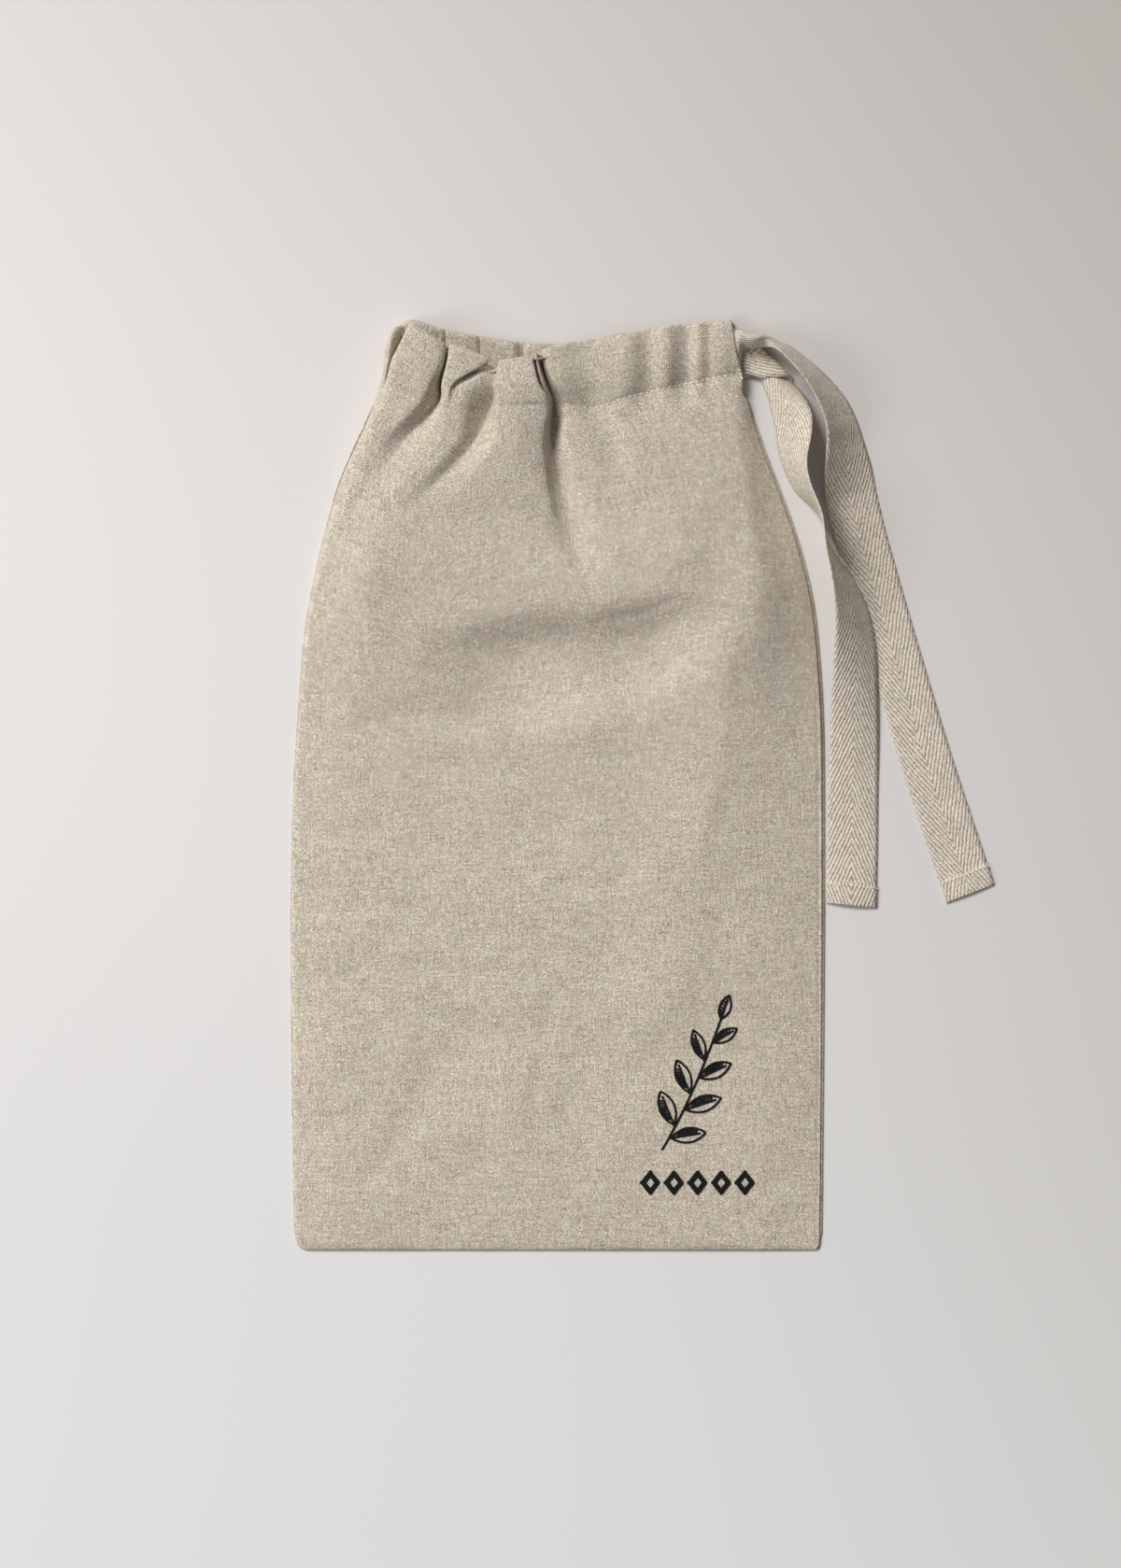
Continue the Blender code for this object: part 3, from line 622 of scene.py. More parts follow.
def front_z(x, y, left, right, height):
    """The front cloth's height with its turns into both side seams and the bottom seam."""
    rise_left = side_rise(x - left, y, "left")
    rise_right = side_rise(right - x - SEAM_RIDGE[1], y, "right")
    rise_right = mix(rise_right, 1.0, smooth(*MOUTH_RISE, y))
    seam = mix(FRONT_REST, SEAM_LEVEL + SEAM_HALF, smooth(*SEAM_RISE, y))
    half = SEAM_RIDGE[1] / 2
    ridge = SEAM_RIDGE[0] * bump(right - x - half, half, half)
    bottom = mix(smooth(-0.4 * BOTTOM_FALL, BOTTOM_FALL, y - BOTTOM), 1.0, 0.15)
    bottom = bottom * quarter_turn(y - BOTTOM, BOTTOM_TURN)
    z = mix(FRONT_REST, mix(seam, height, rise_left), rise_right * bottom)
    return z + ridge * smooth(*RIDGE_START, y) * (1 - smooth(*MOUTH_RISE, y))


def front_edges(y):
    left = along(OUTLINE, "y", "left", y) + SEAM_INSET[0] * (1 - smooth(*MOUTH_RISE, y))
    right = along(OUTLINE, "y", "right", y) - SEAM_INSET[1] * (1 - smooth(*MOUTH_RISE, y))
    return left, right


def row_heights():
    """y of each row at each gather line, rows from the bottom seam to the folded edge."""
    top = np.array([line.top for line in GATHERS])
    stitch = np.array([line.stitch for line in GATHERS])
    bottom = BOTTOM + BOTTOM_TURN * (1 - np.cos(np.linspace(0.0, math.pi / 2, 7)[:-1]))
    lower = np.linspace(BOTTOM + BOTTOM_TURN, BODY_MIDDLE, BODY_ROWS[1], endpoint=False)
    upper = np.linspace(BODY_MIDDLE, NECK_END, BODY_ROWS[0], endpoint=False)
    flat = np.concatenate([bottom, lower, upper])[:, None] + 0 * top[None, :]
    neck = mix(NECK_END, stitch[None, :], np.linspace(0.0, 1.0, NECK_ROWS, endpoint=False)[:, None])
    casing = mix(stitch[None, :], top[None, :] - HEM_LAYER, np.linspace(0.0, 1.0, CASING_ROWS)[:, None])
    return np.concatenate([flat, neck, casing])


def line_places(y):
    """x and z of the gather lines at their rows."""
    left, right = front_edges(y)
    shares = np.linspace(0.0, 1.0, len(GATHERS))
    x, z = 0 * y, 0 * y
    for k, line in enumerate(GATHERS):
        z[:, k] = curve_through(STATIONS, line.z, np.clip(y[:, k], STATIONS[0], STATIONS_END))
        if line.x is None:
            x[:, k] = (left if k == 0 else right)[:, k]
            continue
        at = curve_through(STATIONS, line.x, np.maximum(y[:, k], STATIONS[0]))
        edge_left, edge_right = front_edges(np.full(1, STATIONS[0]))
        share = (line.x[0] - edge_left[0]) / (edge_right[0] - edge_left[0])
        share = mix(shares[k], share, smooth(LINES_START, STATIONS[0], y[:, k]))
        spread = mix(left[:, k], right[:, k], share)
        x[:, k] = np.where(y[:, k] > STATIONS[0], at, spread)
    return x, z


def loft(lines):
    """Points on smooth curves across each row of gather lines."""
    chords = np.diff(lines, axis=1)
    spans = np.linalg.norm(chords, axis=2, keepdims=True)
    units = chords / np.maximum(spans, 1e-6)
    headings = np.empty_like(lines)
    headings[:, 0], headings[:, -1] = units[:, 0], units[:, -1]
    headings[:, 1:-1] = units[:, :-1] * spans[:, 1:] + units[:, 1:] * spans[:, :-1]
    headings[:, 1:-1] /= spans[:, 1:] + spans[:, :-1]
    points = []
    for k, line in enumerate(GATHERS[:-1]):
        ease = math.pi / 2 if k == 0 else 0.0
        for step in range(line.columns):
            t = step / line.columns
            t = 1 - math.cos(t * ease) if ease else t
            start = headings[:, k] * spans[:, k] * line.round
            end = headings[:, k + 1] * spans[:, k] * GATHERS[k + 1].round
            point = lines[:, k] * (2 * t**3 - 3 * t**2 + 1) + lines[:, k + 1] * (3 * t**2 - 2 * t**3)
            points.append(point + start * (t**3 - 2 * t**2 + t) + end * (t**3 - t**2))
    points.append(lines[:, -1])
    return np.stack(points, axis=1)


def front_outer():
    """The front panel's outer layer."""
    y = row_heights()
    x, z = line_places(y)
    own = (z - body_level(x, y)) * smooth(*LOFT_ENDS, y)
    grid = loft(np.stack([x, y, own], axis=2))
    x, y, own = grid[:, :, 0], grid[:, :, 1], grid[:, :, 2]
    share = (np.arange(len(grid)) - (len(grid) - CASING_ROWS)) / (CASING_ROWS - 1)
    share = share[:, None]
    crown = np.where(share > 0, np.sin(math.pi * np.clip(share, 0, 1) ** 0.8), 0.0)
    height = body_height(x, y) + own + crown * CASING_CROWN * smooth(*CROWN_START, x)
    for pucker in PUCKERS:
        reach = smooth(*PUCKERS_START, share) * mix(1.0, 0.8, smooth(0.7, 1.0, share))
        height = height + pucker.height * bump(x - pucker.x, pucker.left, pucker.right) * reach
    dent = mix(*STITCH_DENT, smooth(*DENT_CHANGE, x))
    height = height - dent * np.exp(-((share * CASING_ROWS) ** 2) / 3.0)
    left, right = front_edges(y)
    return np.stack([x, y, front_z(x, y, left, right, height)], axis=2)


def lowest_near(row, x, column):
    """The lowest y or z of a row of points within reach of each x, evened out a little."""
    near = np.abs(row[None, :, 0] - x[:, None]) < HEM_REACH
    lowest = np.where(near, row[None, :, column], np.inf).min(axis=1)
    return np.convolve(np.pad(lowest, 3, mode="edge"), np.ones(7) / 7, mode="valid")


def tunnel_grid(outer):
    """The underside of the front casing without its tightest folds, rows from the folded edge down."""
    even = np.linspace(0.0, 1.0, outer.shape[1])
    rows = []
    for row in outer[: -CASING_ROWS - 1 : -1]:
        x = mix(row[0, 0] + 2.5, row[-1, 0], even)
        z = np.maximum(lowest_near(row, x, 2), HEM_LOWEST + HEM_DEPTH)
        rows.append(np.stack([x, lowest_near(row, x, 1), z], axis=1))
    return np.array(rows)


def front_inner(outer, tunnel):
    """The folded edge and the cloth turned in behind the tape, which follows the folds less closely."""
    fold, inner = turned_over(outer, cloth_normals(outer), CASING_ROWS, HEM_LAYER, -1)
    loose = smooth(0.0, 5.0, np.arange(CASING_ROWS))[:, None, None]
    return fold, mix(inner, tunnel - (0.0, 0.0, HEM_DEPTH), loose)


front_cloth = front_outer()
front_tunnel = tunnel_grid(front_cloth)
front_fold, front_hem = front_inner(front_cloth, front_tunnel)
front_rows = np.concatenate([front_cloth, front_fold, front_hem])
front_panel = sheet_piece("front_panel_linen", front_rows, cloth_lengths(front_rows), CLOTH, linen)
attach(front_panel, "root")
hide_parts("front_panel")


# The drawstring --------------------------------------------------------------------------------------
# One length of cotton herringbone tape, 25 mm wide, drawn through both halves of the casing. Both ends
# leave at the right, stand on edge where they turn, and lie flat further down, turned over and sewn.

TAPE = 0.55  # thickness of the tape
TAPE_WIDTH = 25.0
TAPE_TOP = 3.2  # depth of the tape's upper edge below the folded edge
TAPE_STEPS = 12  # strips across the tape
TAIL_STEP = 1.8  # length of tape between sections
BOWING = 0.5  # how much of its spare width bows out
END_HEM = 10.5  # length of tape turned over at each end
TAPE_REST = 0.32  # height of the tape's middle on the table

# Places of the tape's two edges, a and b, from the casing outwards, and of the crest between them.
Rail = namedtuple("Rail", "ax ay az bx by bz crest_y crest_z", defaults=(0.0, 0.0))
OUTER_TAIL = (
    Rail(90.2, 210.2, 0.8, 87.6, 221.4, 3.2, 2.2, 8.6),
    Rail(94.8, 211.4, 1.2, 93.4, 220.6, 2.2, 1.2, 11.0),
    Rail(99.8, 212.6, 6.0, 100.4, 218.8, 1.2, 0.3, 9.0),
    Rail(105.4, 212.0, 20.6, 107.6, 215.6, 0.8, 0.0, 1.5),
    Rail(111.0, 207.4, 23.6, 115.0, 212.0, 0.6),
    Rail(120.2, 196.8, 23.6, 128.4, 201.2, 0.6),
    Rail(127.0, 184.6, 22.4, 139.6, 188.6, 0.6),
    Rail(130.6, 173.2, 20.0, 145.4, 177.4, 0.6),
    Rail(130.4, 160.6, 15.6, 149.6, 164.6, 0.5),
    Rail(129.8, 150.6, 9.0, 152.4, 155.6, 0.5),
    Rail(130.4, 138.0, 2.2, 154.8, 143.6, 0.5),
    Rail(133.2, 124.0, 0.5, 157.8, 130.6, 0.5),
    Rail(137.6, 108.0, 0.5, 162.0, 114.6, 0.5),
    Rail(147.4, 74.6, 0.5, 171.6, 81.0, 0.5),
    Rail(157.8, 39.6, 0.5, 181.9, 46.2, 0.5),
    Rail(168.2, 4.4, 0.5, 192.4, 11.8, 0.5),
    Rail(178.8, -27.4, 0.5, 202.6, -19.0, 0.5),
    Rail(189.0, -57.0, 0.5, 212.2, -48.0, 0.5),
)
INNER_TAIL = (
    Rail(93.0, 198.8, 2.2, 88.0, 220.8, 1.9),
    Rail(101.0, 198.2, 4.0, 88.8, 221.4, 2.4),
    Rail(110.2, 198.6, 4.2, 89.6, 221.6, 2.6),
    Rail(113.0, 199.2, 3.0, 90.6, 221.6, 1.7),
    Rail(113.8, 197.6, 1.8, 91.0, 218.6, 0.6),
    Rail(114.4, 195.6, 1.6, 92.0, 213.6, 0.5),
    Rail(116.2, 193.4, 2.4, 95.0, 205.0, 0.5),
    Rail(118.8, 190.6, 5.4, 99.4, 196.0, 0.5),
    Rail(121.8, 184.8, 10.6, 102.6, 187.0, 0.5),
    Rail(123.6, 178.6, 14.6, 104.8, 178.4, 0.5),
    Rail(123.0, 169.0, 18.4, 106.6, 169.0, 0.5),
    Rail(121.2, 160.8, 21.4, 108.0, 160.6, 0.5),
    Rail(121.0, 153.6, 23.2, 111.0, 152.0, 0.5),
    Rail(122.6, 146.4, 24.2, 115.4, 143.0, 0.5),
    Rail(125.6, 138.6, 25.0, 121.6, 137.0, 0.5),
    Rail(128.2, 131.6, 25.5, 126.8, 131.2, 0.5),
    Rail(129.4, 122.8, 25.5, 130.6, 123.0, 0.7),
    Rail(130.2, 115.4, 25.6, 133.4, 115.4, 1.7),
    Rail(131.8, 107.0, 25.4, 139.0, 106.8, 2.0),
    Rail(133.2, 99.6, 24.2, 144.4, 99.4, 2.0),
    Rail(134.2, 91.6, 22.2, 148.6, 91.4, 2.0),
    Rail(135.0, 80.6, 19.2, 152.3, 80.6, 1.9),
    Rail(134.4, 66.0, 14.6, 154.6, 66.0, 1.9),
    Rail(133.2, 48.0, 9.0, 155.4, 48.0, 1.9),
    Rail(132.2, 24.0, 4.0, 156.0, 24.0, 1.2),
    Rail(131.2, -4.0, 1.4, 155.8, -4.0, 0.6),
    Rail(130.8, -32.0, 0.5, 155.6, -32.0, 0.5),
    Rail(130.8, -57.0, 0.5, 155.0, -59.4, 0.5),
)

RIB_PITCH = 1.72  # distance between the twill's ribs
RIB_SLANT = 24.0  # their slant from the tape's length, in degrees
SELVEDGE = (11.3, 11.9)  # the plain edge begins between these distances from the spine
TWILL_DARK = (0.260, 0.195, 0.135, 1.0)
TWILL_LIGHT = (0.830, 0.755, 0.640, 1.0)


def twill_finish(name):
    """Undyed cotton tape in herringbone twill: slanting ribs that meet in a spine along its middle."""
    tape = Finish(name, 0.85, sheen=0.12)
    place = tape.place_on_cloth()
    u, v = tape.parts_of(place)
    from_spine = abs(u - TAPE_WIDTH * MM / 2)
    slant = math.radians(RIB_SLANT)
    wander = (tape.streaks(place, 5.0, 12.0, 1.0) - 0.5) * (1.2 * MM)
    wander = wander + (tape.streaks(place, 1.2, 1.2, 1.0, shift=9.0) - 0.5) * (0.9 * MM)
    across_rib = from_spine * math.cos(slant) - v * math.sin(slant) + wander
    rib = abs((across_rib * (math.pi / (RIB_PITCH * MM))).sine()) ** 0.8
    yarn, tint = tape.floats(place, 0.75, 1.1)
    cross_yarn, cross_tint = tape.floats(place, 1.1, 0.62, shift=0.17)
    mottle = tape.streaks(place, 9.0, 12.0, 2.0, shift=15.0)
    selvedge = tape.step(from_spine, SELVEDGE[0] * MM, SELVEDGE[1] * MM)
    tone = rib * 0.66 + (yarn - 0.5) * 0.30 + (cross_yarn - 0.5) * 0.24 + (mottle - 0.5) * 0.2 + 0.16
    tone = tone * (1 - selvedge) + selvedge * (0.66 + (cross_yarn - 0.5) * 0.5)
    colour = tape.blend(tone.smallest(1.0).largest(0.0), TWILL_DARK, TWILL_LIGHT)
    tape.feed("Base Color", tape.tinted(tape.tinted(colour, tint, 0.08), cross_tint, 0.06))
    tape.raise_by(rib * 0.9 + (yarn + cross_yarn) * 0.18, 0.35)
    return tape.material


def tunnel_sections(layer, rise):
    """Sections of the tape inside a casing, over or under one of the cloth's layers, lower edge first."""
    rows = len(layer)
    depths = np.linspace(TAPE_TOP + TAPE_WIDTH, TAPE_TOP, TAPE_STEPS + 1) / CASING * (rows - 1)
    sections = []
    for depth in depths:
        j = min(int(depth), rows - 2)
        sections.append(mix(layer[j], layer[j + 1], depth - j) + (0.0, 0.0, rise))
    return np.array(sections).transpose(1, 0, 2)


def bowed(section):
    """A section bowed upwards by as much as its tape is wider than the distance between its edges."""
    chord = section[-1] - section[0]
    length = np.linalg.norm(chord)
    spare = max(0.0, TAPE_WIDTH - length)
    out = np.cross(np.cross(chord, (0.0, 0.0, 1.0)), chord) / length**2
    share = np.linspace(0.0, 1.0, len(section))[:, None]
    return section + out * math.sqrt(0.375 * length * spare) * BOWING * 4 * share * (1 - share)


def tail_sections(start, rails):
    """Sections of a free end, on smooth curves from the casing's end through the rails."""
    rail = np.array([((r.ax, r.ay, r.az), (r.bx, r.by, r.bz), (0.0, r.crest_y, r.crest_z)) for r in rails])
    rail = np.concatenate([[[start[0], start[-1], (0.0, 0.0, 0.0)]], rail])
    share = np.linspace(0.0, 1.0, len(start))[:, None]
    own = start - mix(start[0], start[-1], share)
    sections = []
    for k in range(len(rail) - 1):
        before, here, there, after = (rail[min(max(m, 0), len(rail) - 1)] for m in range(k - 1, k + 3))
        steps = max(3, round(float(np.linalg.norm(there - here, axis=1).max()) / TAIL_STEP))
        for t in np.arange(1, steps + 1) / steps:
            bend = (2 * before - 5 * here + 4 * there - after) * t**2
            bend = bend + (3 * here - before - 3 * there + after) * t**3
            a, b, crest = (2 * here + (there - before) * t + bend) / 2
            loose = min(1.0, (k + t) / 2)
            section = mix(mix(a, b, share) + own, bowed(mix(a, b, share)), loose)
            section = section + crest * 4 * share * (1 - share)
            section[:, 2] = np.maximum(section[:, 2] - 0.2, TAPE_REST)
            sections.append(section)
    return sections


def with_end_hem(sections):
    """A tail with its end turned over on top of itself."""
    forward = sections[-1] - sections[-2]
    forward /= np.linalg.norm(forward, axis=1, keepdims=True)
    radius = TAPE * 0.6
    turn = [
        sections[-1] + forward * radius * math.sin(a) + (0.0, 0.0, radius * (1 - math.cos(a)))
        for a in np.radians((36.0, 72.0, 108.0, 144.0, 180.0))
    ]
    over = [turn[-1] - forward * length for length in np.linspace(1.5, END_HEM, 7)]
    return [*sections, *turn, *over]


def tape_sections():
    """Sections of the whole tape, from one end through both casings to the other."""
    front = tunnel_sections(front_tunnel, -HEM_DEPTH / 2)
    back = tunnel_sections(back_cloth[-BACK_GRID[2] :], -LAYER)
    outer = with_end_hem(tail_sections(front[-1], OUTER_TAIL))
    inner = with_end_hem(tail_sections(back[-1], INNER_TAIL))
    return np.array([*outer[::-1], *front[::-1], *back, *inner])


def tape_lengths(sections):
    """Each point's place on the flat tape: across it, and along its middle."""
    middle = sections.mean(axis=1)
    length = np.append(0.0, np.cumsum(np.linalg.norm(np.diff(middle, axis=0), axis=1)))
    across = np.linspace(0.0, TAPE_WIDTH, sections.shape[1])
    return np.stack(np.broadcast_arrays(across[None, :], length[:, None]), axis=2)


twill = twill_finish("herringbone twill")
tape_grid = tape_sections()
tape_flat = tape_lengths(tape_grid)
drawstring = sheet_piece("drawstring_twill", tape_grid, tape_flat, TAPE, twill)
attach(drawstring, "root")
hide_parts("drawstring_tape")


# The casing's stitches -------------------------------------------------------------------------------
# A pale machine thread holds the folded casing down along its whole width, with a few close stitches that
# lock the seam where the tape comes out, and a short curve of them beside it.

# From stitch to stitch, a stitch's length and thickness, and how much smaller the least of them is.
Thread = namedtuple("Thread", "pitch length thickness unevenness")
CASING_THREAD = Thread(2.9, 2.1, 0.85, 0.5)
STITCH_LIFT = 0.36  # height of the thread's middle over the middle of its cloth
STITCH_SUNK = 0.1  # the same in the gathers
GATHERS_START = (-68.0, -62.0)  # the thread sinks in between these
GATHERS_END = (6.0, 20.0)  # and comes out again between these
THREAD_PALE = (0.900, 0.860, 0.780, 1.0)
CASING_LOCK = ((88.2, 201.6), (89.4, 199.0), (88.0, 200.0), (89.6, 197.8))
CASING_CURVE = ((75.9, 198.6), (77.6, 194.4), (80.9, 191.0), (84.4, 189.4), (87.4, 188.9))


def thread_finish(name, colour, roughness):
    thread = Finish(name, roughness)
    thread.shader.inputs["Base Color"].default_value = colour
    return thread.material


def stitch_nodes(material):
    """A node group that sets one stitch after another along each line that it is given."""
    group = bpy.data.node_groups.new("stitches along lines", "GeometryNodeTree")
    face = group.interface
    face.new_socket("Geometry", in_out="INPUT", socket_type="NodeSocketGeometry")
    for name in ("Pitch", "Length", "Thickness", "Unevenness"):
        face.new_socket(name, in_out="INPUT", socket_type="NodeSocketFloat")
    face.new_socket("Geometry", in_out="OUTPUT", socket_type="NodeSocketGeometry")

    def node(kind, settings, sockets):
        added = group.nodes.new(kind)
        for name, setting in settings.items():
            setattr(added, name, setting)
        for name, value in sockets.items():
            if isinstance(value, bpy.types.NodeSocket):
                group.links.new(value, added.inputs[name])
            else:
                added.inputs[name].default_value = value
        return added.outputs

    given = node("NodeGroupInput", {}, {})
    lines = node("GeometryNodeMeshToCurve", {}, {"Mesh": given["Geometry"]})["Curve"]
    spacing = {"Curve": lines, "Length": given["Pitch"]}
    even = node("GeometryNodeResampleCurve", {"mode": "LENGTH"}, spacing)["Curve"]
    points = node("GeometryNodeCurveToPoints", {"mode": "EVALUATED"}, {"Curve": even})
    bead = node("GeometryNodeMeshUVSphere", {}, {"Segments": 8, "Rings": 6, "Radius": 0.5})["Mesh"]
    sides = {"X": given["Thickness"], "Y": given["Thickness"], "Z": given["Length"]}
    size = node("ShaderNodeCombineXYZ", {}, sides)["Vector"]
    stitch = node("GeometryNodeTransform", {}, {"Geometry": bead, "Scale": size})["Geometry"]
    least = node("ShaderNodeMath", {"operation": "SUBTRACT"}, {0: 1.0, 1: given["Unevenness"]})["Value"]
    uneven = node("FunctionNodeRandomValue", {"data_type": "FLOAT"}, {2: least, 3: 1.0, "Seed": 7})[1]
    setting_out = {
        "Points": points["Points"],
        "Instance": stitch,
        "Rotation": points["Rotation"],
        "Scale": uneven,
    }
    placed = node("GeometryNodeInstanceOnPoints", {}, setting_out)["Instances"]
    real = node("GeometryNodeRealizeInstances", {}, {"Geometry": placed})["Geometry"]
    done = node("GeometryNodeSetMaterial", {}, {"Geometry": real, "Material": material})["Geometry"]
    group.links.new(done, group.nodes.new("NodeGroupOutput").inputs[0])
    return group


def stitch_piece(name, lines, material, thread):
    """One mesh of all the stitches along some lines of points."""
    mesh = bpy.data.meshes.new(name + " lines")
    points = [Vector(p) * MM for line in lines for p in line]
    edges, start = [], 0
    for line in lines:
        edges += [(start + k, start + k + 1) for k in range(len(line) - 1)]
        start += len(line)
    mesh.from_pydata(points, edges, [])
    mesh.materials.append(material)
    guide = bpy.data.objects.new(name + " lines", mesh)
    bpy.context.scene.collection.objects.link(guide)
    group = stitch_nodes(material)
    stitches = guide.modifiers.new("stitches", "NODES")
    stitches.node_group = group
    inputs = [item for item in group.interface.items_tree if item.in_out == "INPUT"]
    sockets = {item.name: item.identifier for item in inputs}
    stitches[sockets["Pitch"]] = thread.pitch * MM
    stitches[sockets["Length"]] = thread.length * MM
    stitches[sockets["Thickness"]] = thread.thickness * MM
    stitches[sockets["Unevenness"]] = thread.unevenness
    graph = bpy.context.evaluated_depsgraph_get()
    made = bpy.data.meshes.new_from_object(guide.evaluated_get(graph))
    made.name = name
    bpy.data.objects.remove(guide)
    made.shade_smooth()
    piece = bpy.data.objects.new(name, made)
    bpy.context.scene.collection.objects.link(piece)
    return piece


rows, columns, _ = front_cloth.shape
corner = np.arange(rows * columns).reshape(rows, columns)
front_faces = [corner[:-1, :-1], corner[:-1, 1:], corner[1:, 1:], corner[1:, :-1]]
front_faces = np.stack(front_faces, axis=2).reshape(-1, 4)
front_tree = BVHTree.FromPolygons(front_cloth.reshape(-1, 3).tolist(), front_faces.tolist())


def on_front(points, lift=STITCH_LIFT):
    """Points over the front cloth, a little above its middle."""
    found = [front_tree.ray_cast(Vector((x, y, 60.0)), Vector((0.0, 0.0, -1.0)))[0] for x, y in points]
    return [place + Vector((0.0, 0.0, lift)) for place in found]


def casing_line():
    """The stitches' line along the casing, on the row of the cloth where it starts, sunk in the gathers."""
    row = len(front_cloth) - CASING_ROWS
    points = front_cloth[row]
    sunk = smooth(*GATHERS_START, points[:, :1]) * (1 - smooth(*GATHERS_END, points[:, :1]))
    return (points + cloth_normals(front_cloth)[row] * mix(STITCH_LIFT, STITCH_SUNK, sunk))[2:-2]


pale_thread = thread_finish("pale thread", THREAD_PALE, 0.7)
casing_stitches = stitch_piece(
    "casing_stitches",
    [casing_line(), on_front(CASING_LOCK), on_front(CASING_CURVE)],
    pale_thread,
    CASING_THREAD,
)
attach(casing_stitches, "root")


# The stitches of the tape's ends ---------------------------------------------------------------------
# A row of the same pale thread, in shorter stitches, holds each turned-over end of the tape down. It runs
# straight across the tape close to the raw edge of the part that is turned over.

TAPE_THREAD = Thread(1.9, 1.3, 0.5, 0.15)
TAPE_STITCH_LIFT = 0.51


def end_hem_line(section):
    """Points across the tape's end, near the edge of the part that is turned over."""
    return [point + np.array((0.0, 0.0, TAPE_STITCH_LIFT)) for point in section]


tape_stitches = stitch_piece(
    "tape_end_stitches",
    [end_hem_line(tape_grid[1]), end_hem_line(tape_grid[-2])],
    pale_thread,
    TAPE_THREAD,
)
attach(tape_stitches, "root")


# The embroidery --------------------------------------------------------------------------------------
# Black stranded thread, stitched by machine on the front's lower right: a leafy sprig in outline, each leaf
# with one half filled, and below it a row of open lozenges.

THREAD_BLACK = (0.006, 0.006, 0.007, 1.0)
EMBROIDERY_THREAD = Thread(0.9, 1.9, 1.3, 0.2)
EMBROIDERY_LIFT = 0.45
STEM = ((51.0, -177.0), (66.0, -152.0), (80.0, -112.0))
Leaf = namedtuple("Leaf", "share side angle length width")
LEAVES = (
    Leaf(0.10, -1, 52.0, 17.0, 7.0),
    Leaf(0.20, 1, 50.0, 17.5, 7.5),
    Leaf(0.34, -1, 46.0, 18.0, 7.5),
    Leaf(0.46, 1, 46.0, 17.0, 7.0),
    Leaf(0.58, -1, 42.0, 16.5, 7.0),
    Leaf(0.70, 1, 42.0, 15.0, 6.0),
    Leaf(0.82, -1, 38.0, 13.0, 5.5),
)
TOP_LEAF = (12.0, 5.5)  # length and width of the leaf at the tip
LOZENGES = 5
LOZENGE_SIZE = (4.4, 5.6)  # half width and half height
LOZENGE_ROUNDS = (1.0, 0.8, 0.6)  # sizes of its rounds of stitches
LOZENGE_ROW = (45.0, 91.0, -193.5)  # x of the first and last, and y
HATCH = 1.25  # distance between the stitches that fill one half of a leaf


def stem_at(share):
    (ax, ay), (bx, by), (cx, cy) = STEM
    a, b, c = (1 - share) ** 2, 2 * share * (1 - share), share**2
    place = Vector((a * ax + b * bx + c * cx, a * ay + b * by + c * cy))
    way = Vector((bx - ax, by - ay)) * (1 - share) + Vector((cx - bx, cy - by)) * share
    return place, way.normalized()


def leaf_lines(root, way, length, width):
    """A leaf's outline, its midrib and the short stitches that fill one of its halves."""
    aside = Vector((-way.y, way.x))

    def at(share, out):
        swell = width / 2 * math.sin(math.pi * share) ** 0.8
        return root + way * (length * share) + aside * (out * swell)

    steps = [k / 12 for k in range(13)]
    outline = [at(t, 1) for t in steps] + [at(t, -1) for t in reversed(steps[:-1])]
    midrib = [at(t, 0) for t in (0.0, 0.3, 0.6, 0.82)]
    rungs = int(length * 0.62 / HATCH)
    filled = [[at(t, 0.1), at(t + 0.07, 0.85)] for t in (0.18 + 0.6 * k / rungs for k in range(rungs))]
    return [outline, midrib, *filled]


def lozenge_lines(x, y):
    """A lozenge's three rounds of stitches about an open middle."""
    half, tall = LOZENGE_SIZE
    corners = ((-half, 0.0), (0.0, tall), (half, 0.0), (0.0, -tall), (-half, 0.0))
    return [[(x + across * size, y + up * size) for across, up in corners] for size in LOZENGE_ROUNDS]


def finely(line, step=1.5):
    """A line with extra points, so that it follows the cloth."""
    points = [Vector(p).to_2d() for p in line]
    fine = [points[0]]
    for a, b in zip(points, points[1:]):
        pieces = max(1, round((b - a).length / step))
        fine += [a.lerp(b, k / pieces) for k in range(1, pieces + 1)]
    return fine


def embroidery_lines():
    lines = [[stem_at(k / 24)[0] for k in range(25)]]
    for leaf in LEAVES:
        root, way = stem_at(leaf.share)
        turned = way.copy()
        turned.rotate(Matrix.Rotation(math.radians(leaf.angle * leaf.side), 2))
        lines += leaf_lines(root + turned * 1.2, turned, leaf.length, leaf.width)
    tip, way = stem_at(1.0)
    lines += leaf_lines(tip - way * 2.0, way, *TOP_LEAF)
    first, last, y = LOZENGE_ROW
    for k in range(LOZENGES):
        lines += lozenge_lines(mix(first, last, k / (LOZENGES - 1)), y)
    return [on_front(finely(line), EMBROIDERY_LIFT) for line in lines]


black_thread = thread_finish("black thread", THREAD_BLACK, 0.85)
embroidery = stitch_piece("embroidery", embroidery_lines(), black_thread, EMBROIDERY_THREAD)
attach(embroidery, "root")
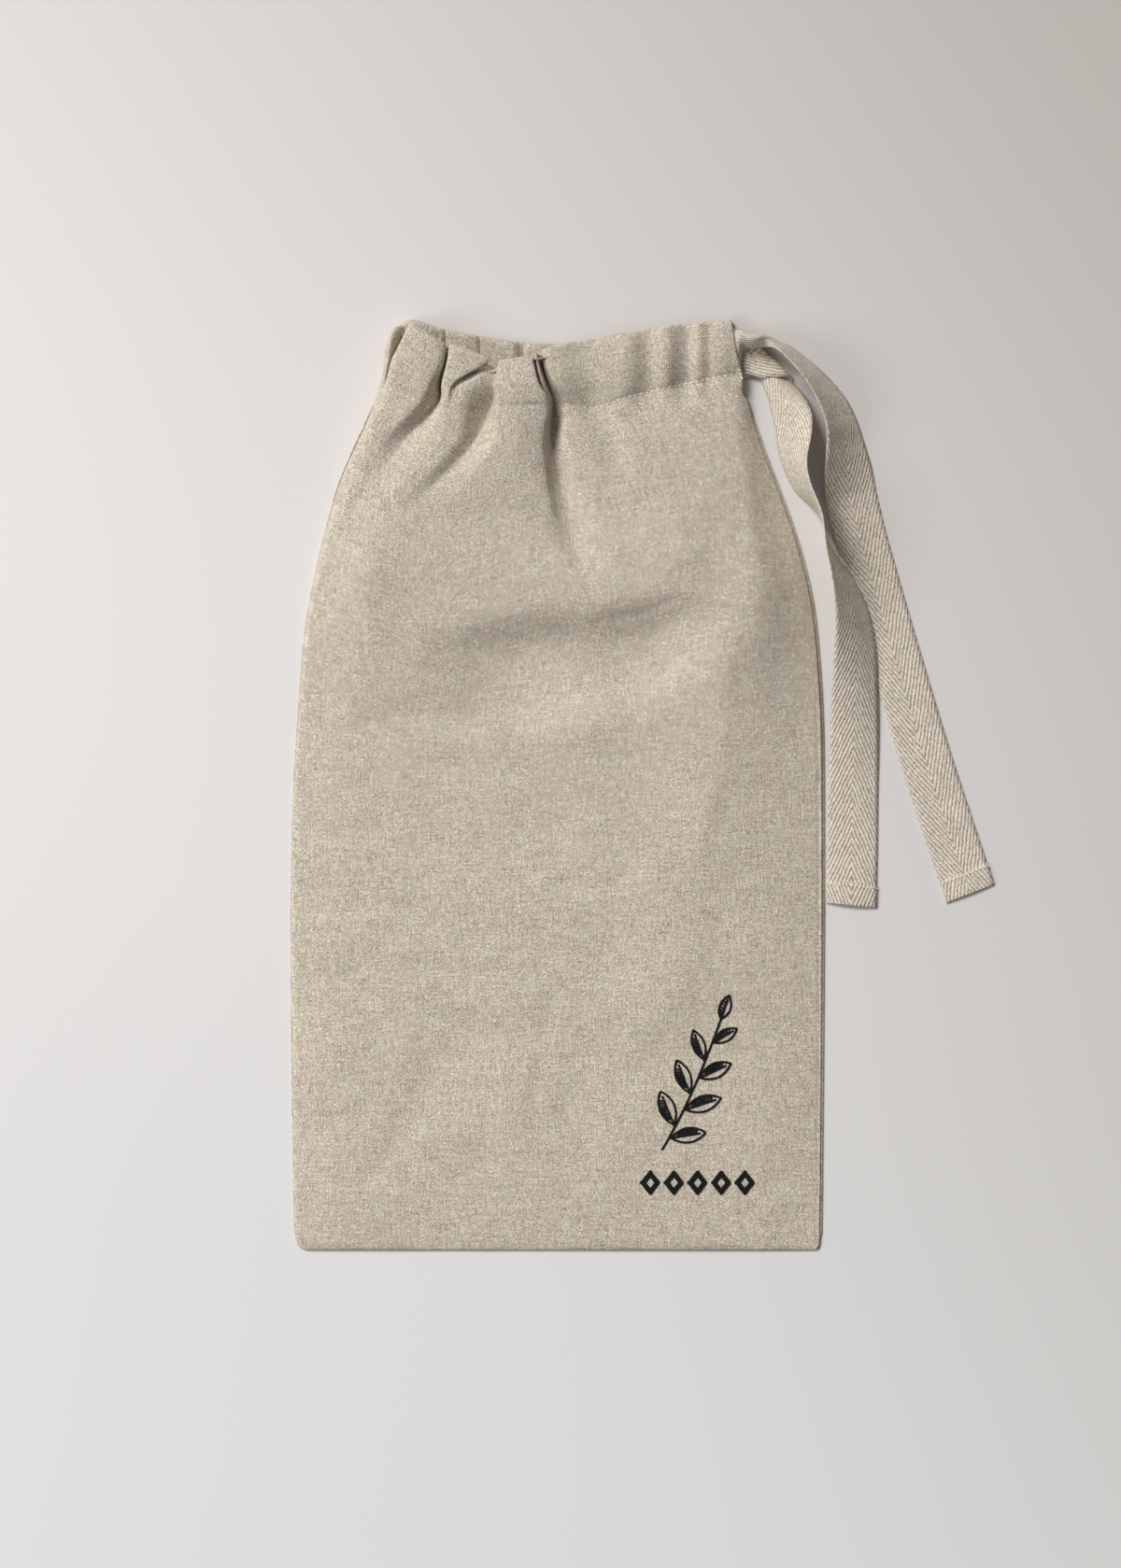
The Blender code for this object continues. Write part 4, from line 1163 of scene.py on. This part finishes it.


# The studio ------------------------------------------------------------------------------------------
# A pale table with painted shade that darkens it towards its far right corner, a soft sun-like key from
# the upper left, a broad fill from the left, and a camera that looks straight down.

FLOOR_SIZE = 4.0
Lamp = namedtuple("Lamp", "name kind power place size")
LAMPS = (
    Lamp("key", "SUN", 2.7, (-1.15, 1.42, 1.66), math.radians(24.0)),
    Lamp("left fill", "AREA", 9.0, (-1.3, -0.15, 1.0), 0.9),
)
SKY_COLOUR = (1.0, 0.972, 0.945, 1.0)
SKY_STRENGTH = 0.23
CAMERA_HEIGHT = 6.0
CAMERA_AT = (0.0014, 0.0004)
VIEW_LENGTH = 0.7632  # length of table that the view takes in
SENSOR = 36.0
# The board's colour holds painted shade, darker towards its far right corner where the light falls off, and
# painted warmer light towards its far edge.
FLOOR_LIGHT = (0.711, 0.701, 0.694, 1.0)
FLOOR_PAINTED_SHADE = (0.425, 0.405, 0.381, 1.0)
FLOOR_PAINTED_WARM_LIGHT = (1.108, 1.074, 1.066)  # its tint towards the far edge, over its tint towards the near edge


def floor_finish():
    """Matt pale board with painted shade, darker towards its far right corner, and painted warmer light
    towards its far edge.
    """
    board = Finish("pale board", 0.9)
    place = board.node("ShaderNodeTexCoord", {}, {}, "Object")
    x, y = board.parts_of(place)
    # Painted shade: the board's colour darkens towards its far right corner.
    colour = board.blend(board.step(x * 0.72 + y * 0.50, -0.18, 0.60), FLOOR_LIGHT, FLOOR_PAINTED_SHADE)
    # Painted light: the board's colour turns warmer towards its far edge.
    painted_warm_light = board.vector("MULTIPLY", colour, FLOOR_PAINTED_WARM_LIGHT)
    board.feed("Base Color", board.blend(board.step(y, -0.24, 0.234), colour, painted_warm_light))
    return board.material


def stage_floor():
    half = FLOOR_SIZE / 2
    mesh = bpy.data.meshes.new("table")
    corners = [(-half, -half, 0), (half, -half, 0), (half, half, 0), (-half, half, 0)]
    mesh.from_pydata(corners, [], [(0, 1, 2, 3)])
    mesh.materials.append(floor_finish())
    table = bpy.data.objects.new("table", mesh)
    bpy.context.scene.collection.objects.link(table)


def stage_light(lamp):
    """A light that shines from its place towards the bag."""
    data = bpy.data.lights.new(lamp.name, lamp.kind)
    data.energy = lamp.power
    if lamp.kind == "SUN":
        data.angle = lamp.size
    else:
        data.shape = "DISK"
        data.size = lamp.size
    light = bpy.data.objects.new(lamp.name, data)
    light.location = lamp.place
    light.rotation_euler = (-Vector(lamp.place)).to_track_quat("-Z", "Y").to_euler()
    bpy.context.scene.collection.objects.link(light)


stage_floor()
for lamp in LAMPS:
    stage_light(lamp)

studio = bpy.data.worlds.new("studio")
studio.use_nodes = True
sky = studio.node_tree.nodes["Background"]
sky.inputs["Color"].default_value = SKY_COLOUR
sky.inputs["Strength"].default_value = SKY_STRENGTH
bpy.context.scene.world = studio
bpy.context.scene.view_settings.view_transform = "Standard"

camera_data = bpy.data.cameras.new("overhead")
camera_data.sensor_fit = "VERTICAL"
camera_data.sensor_height = SENSOR
camera_data.lens = SENSOR * CAMERA_HEIGHT / VIEW_LENGTH
camera = bpy.data.objects.new("overhead", camera_data)
camera.location = (*CAMERA_AT, CAMERA_HEIGHT)
bpy.context.scene.collection.objects.link(camera)
bpy.context.scene.camera = camera
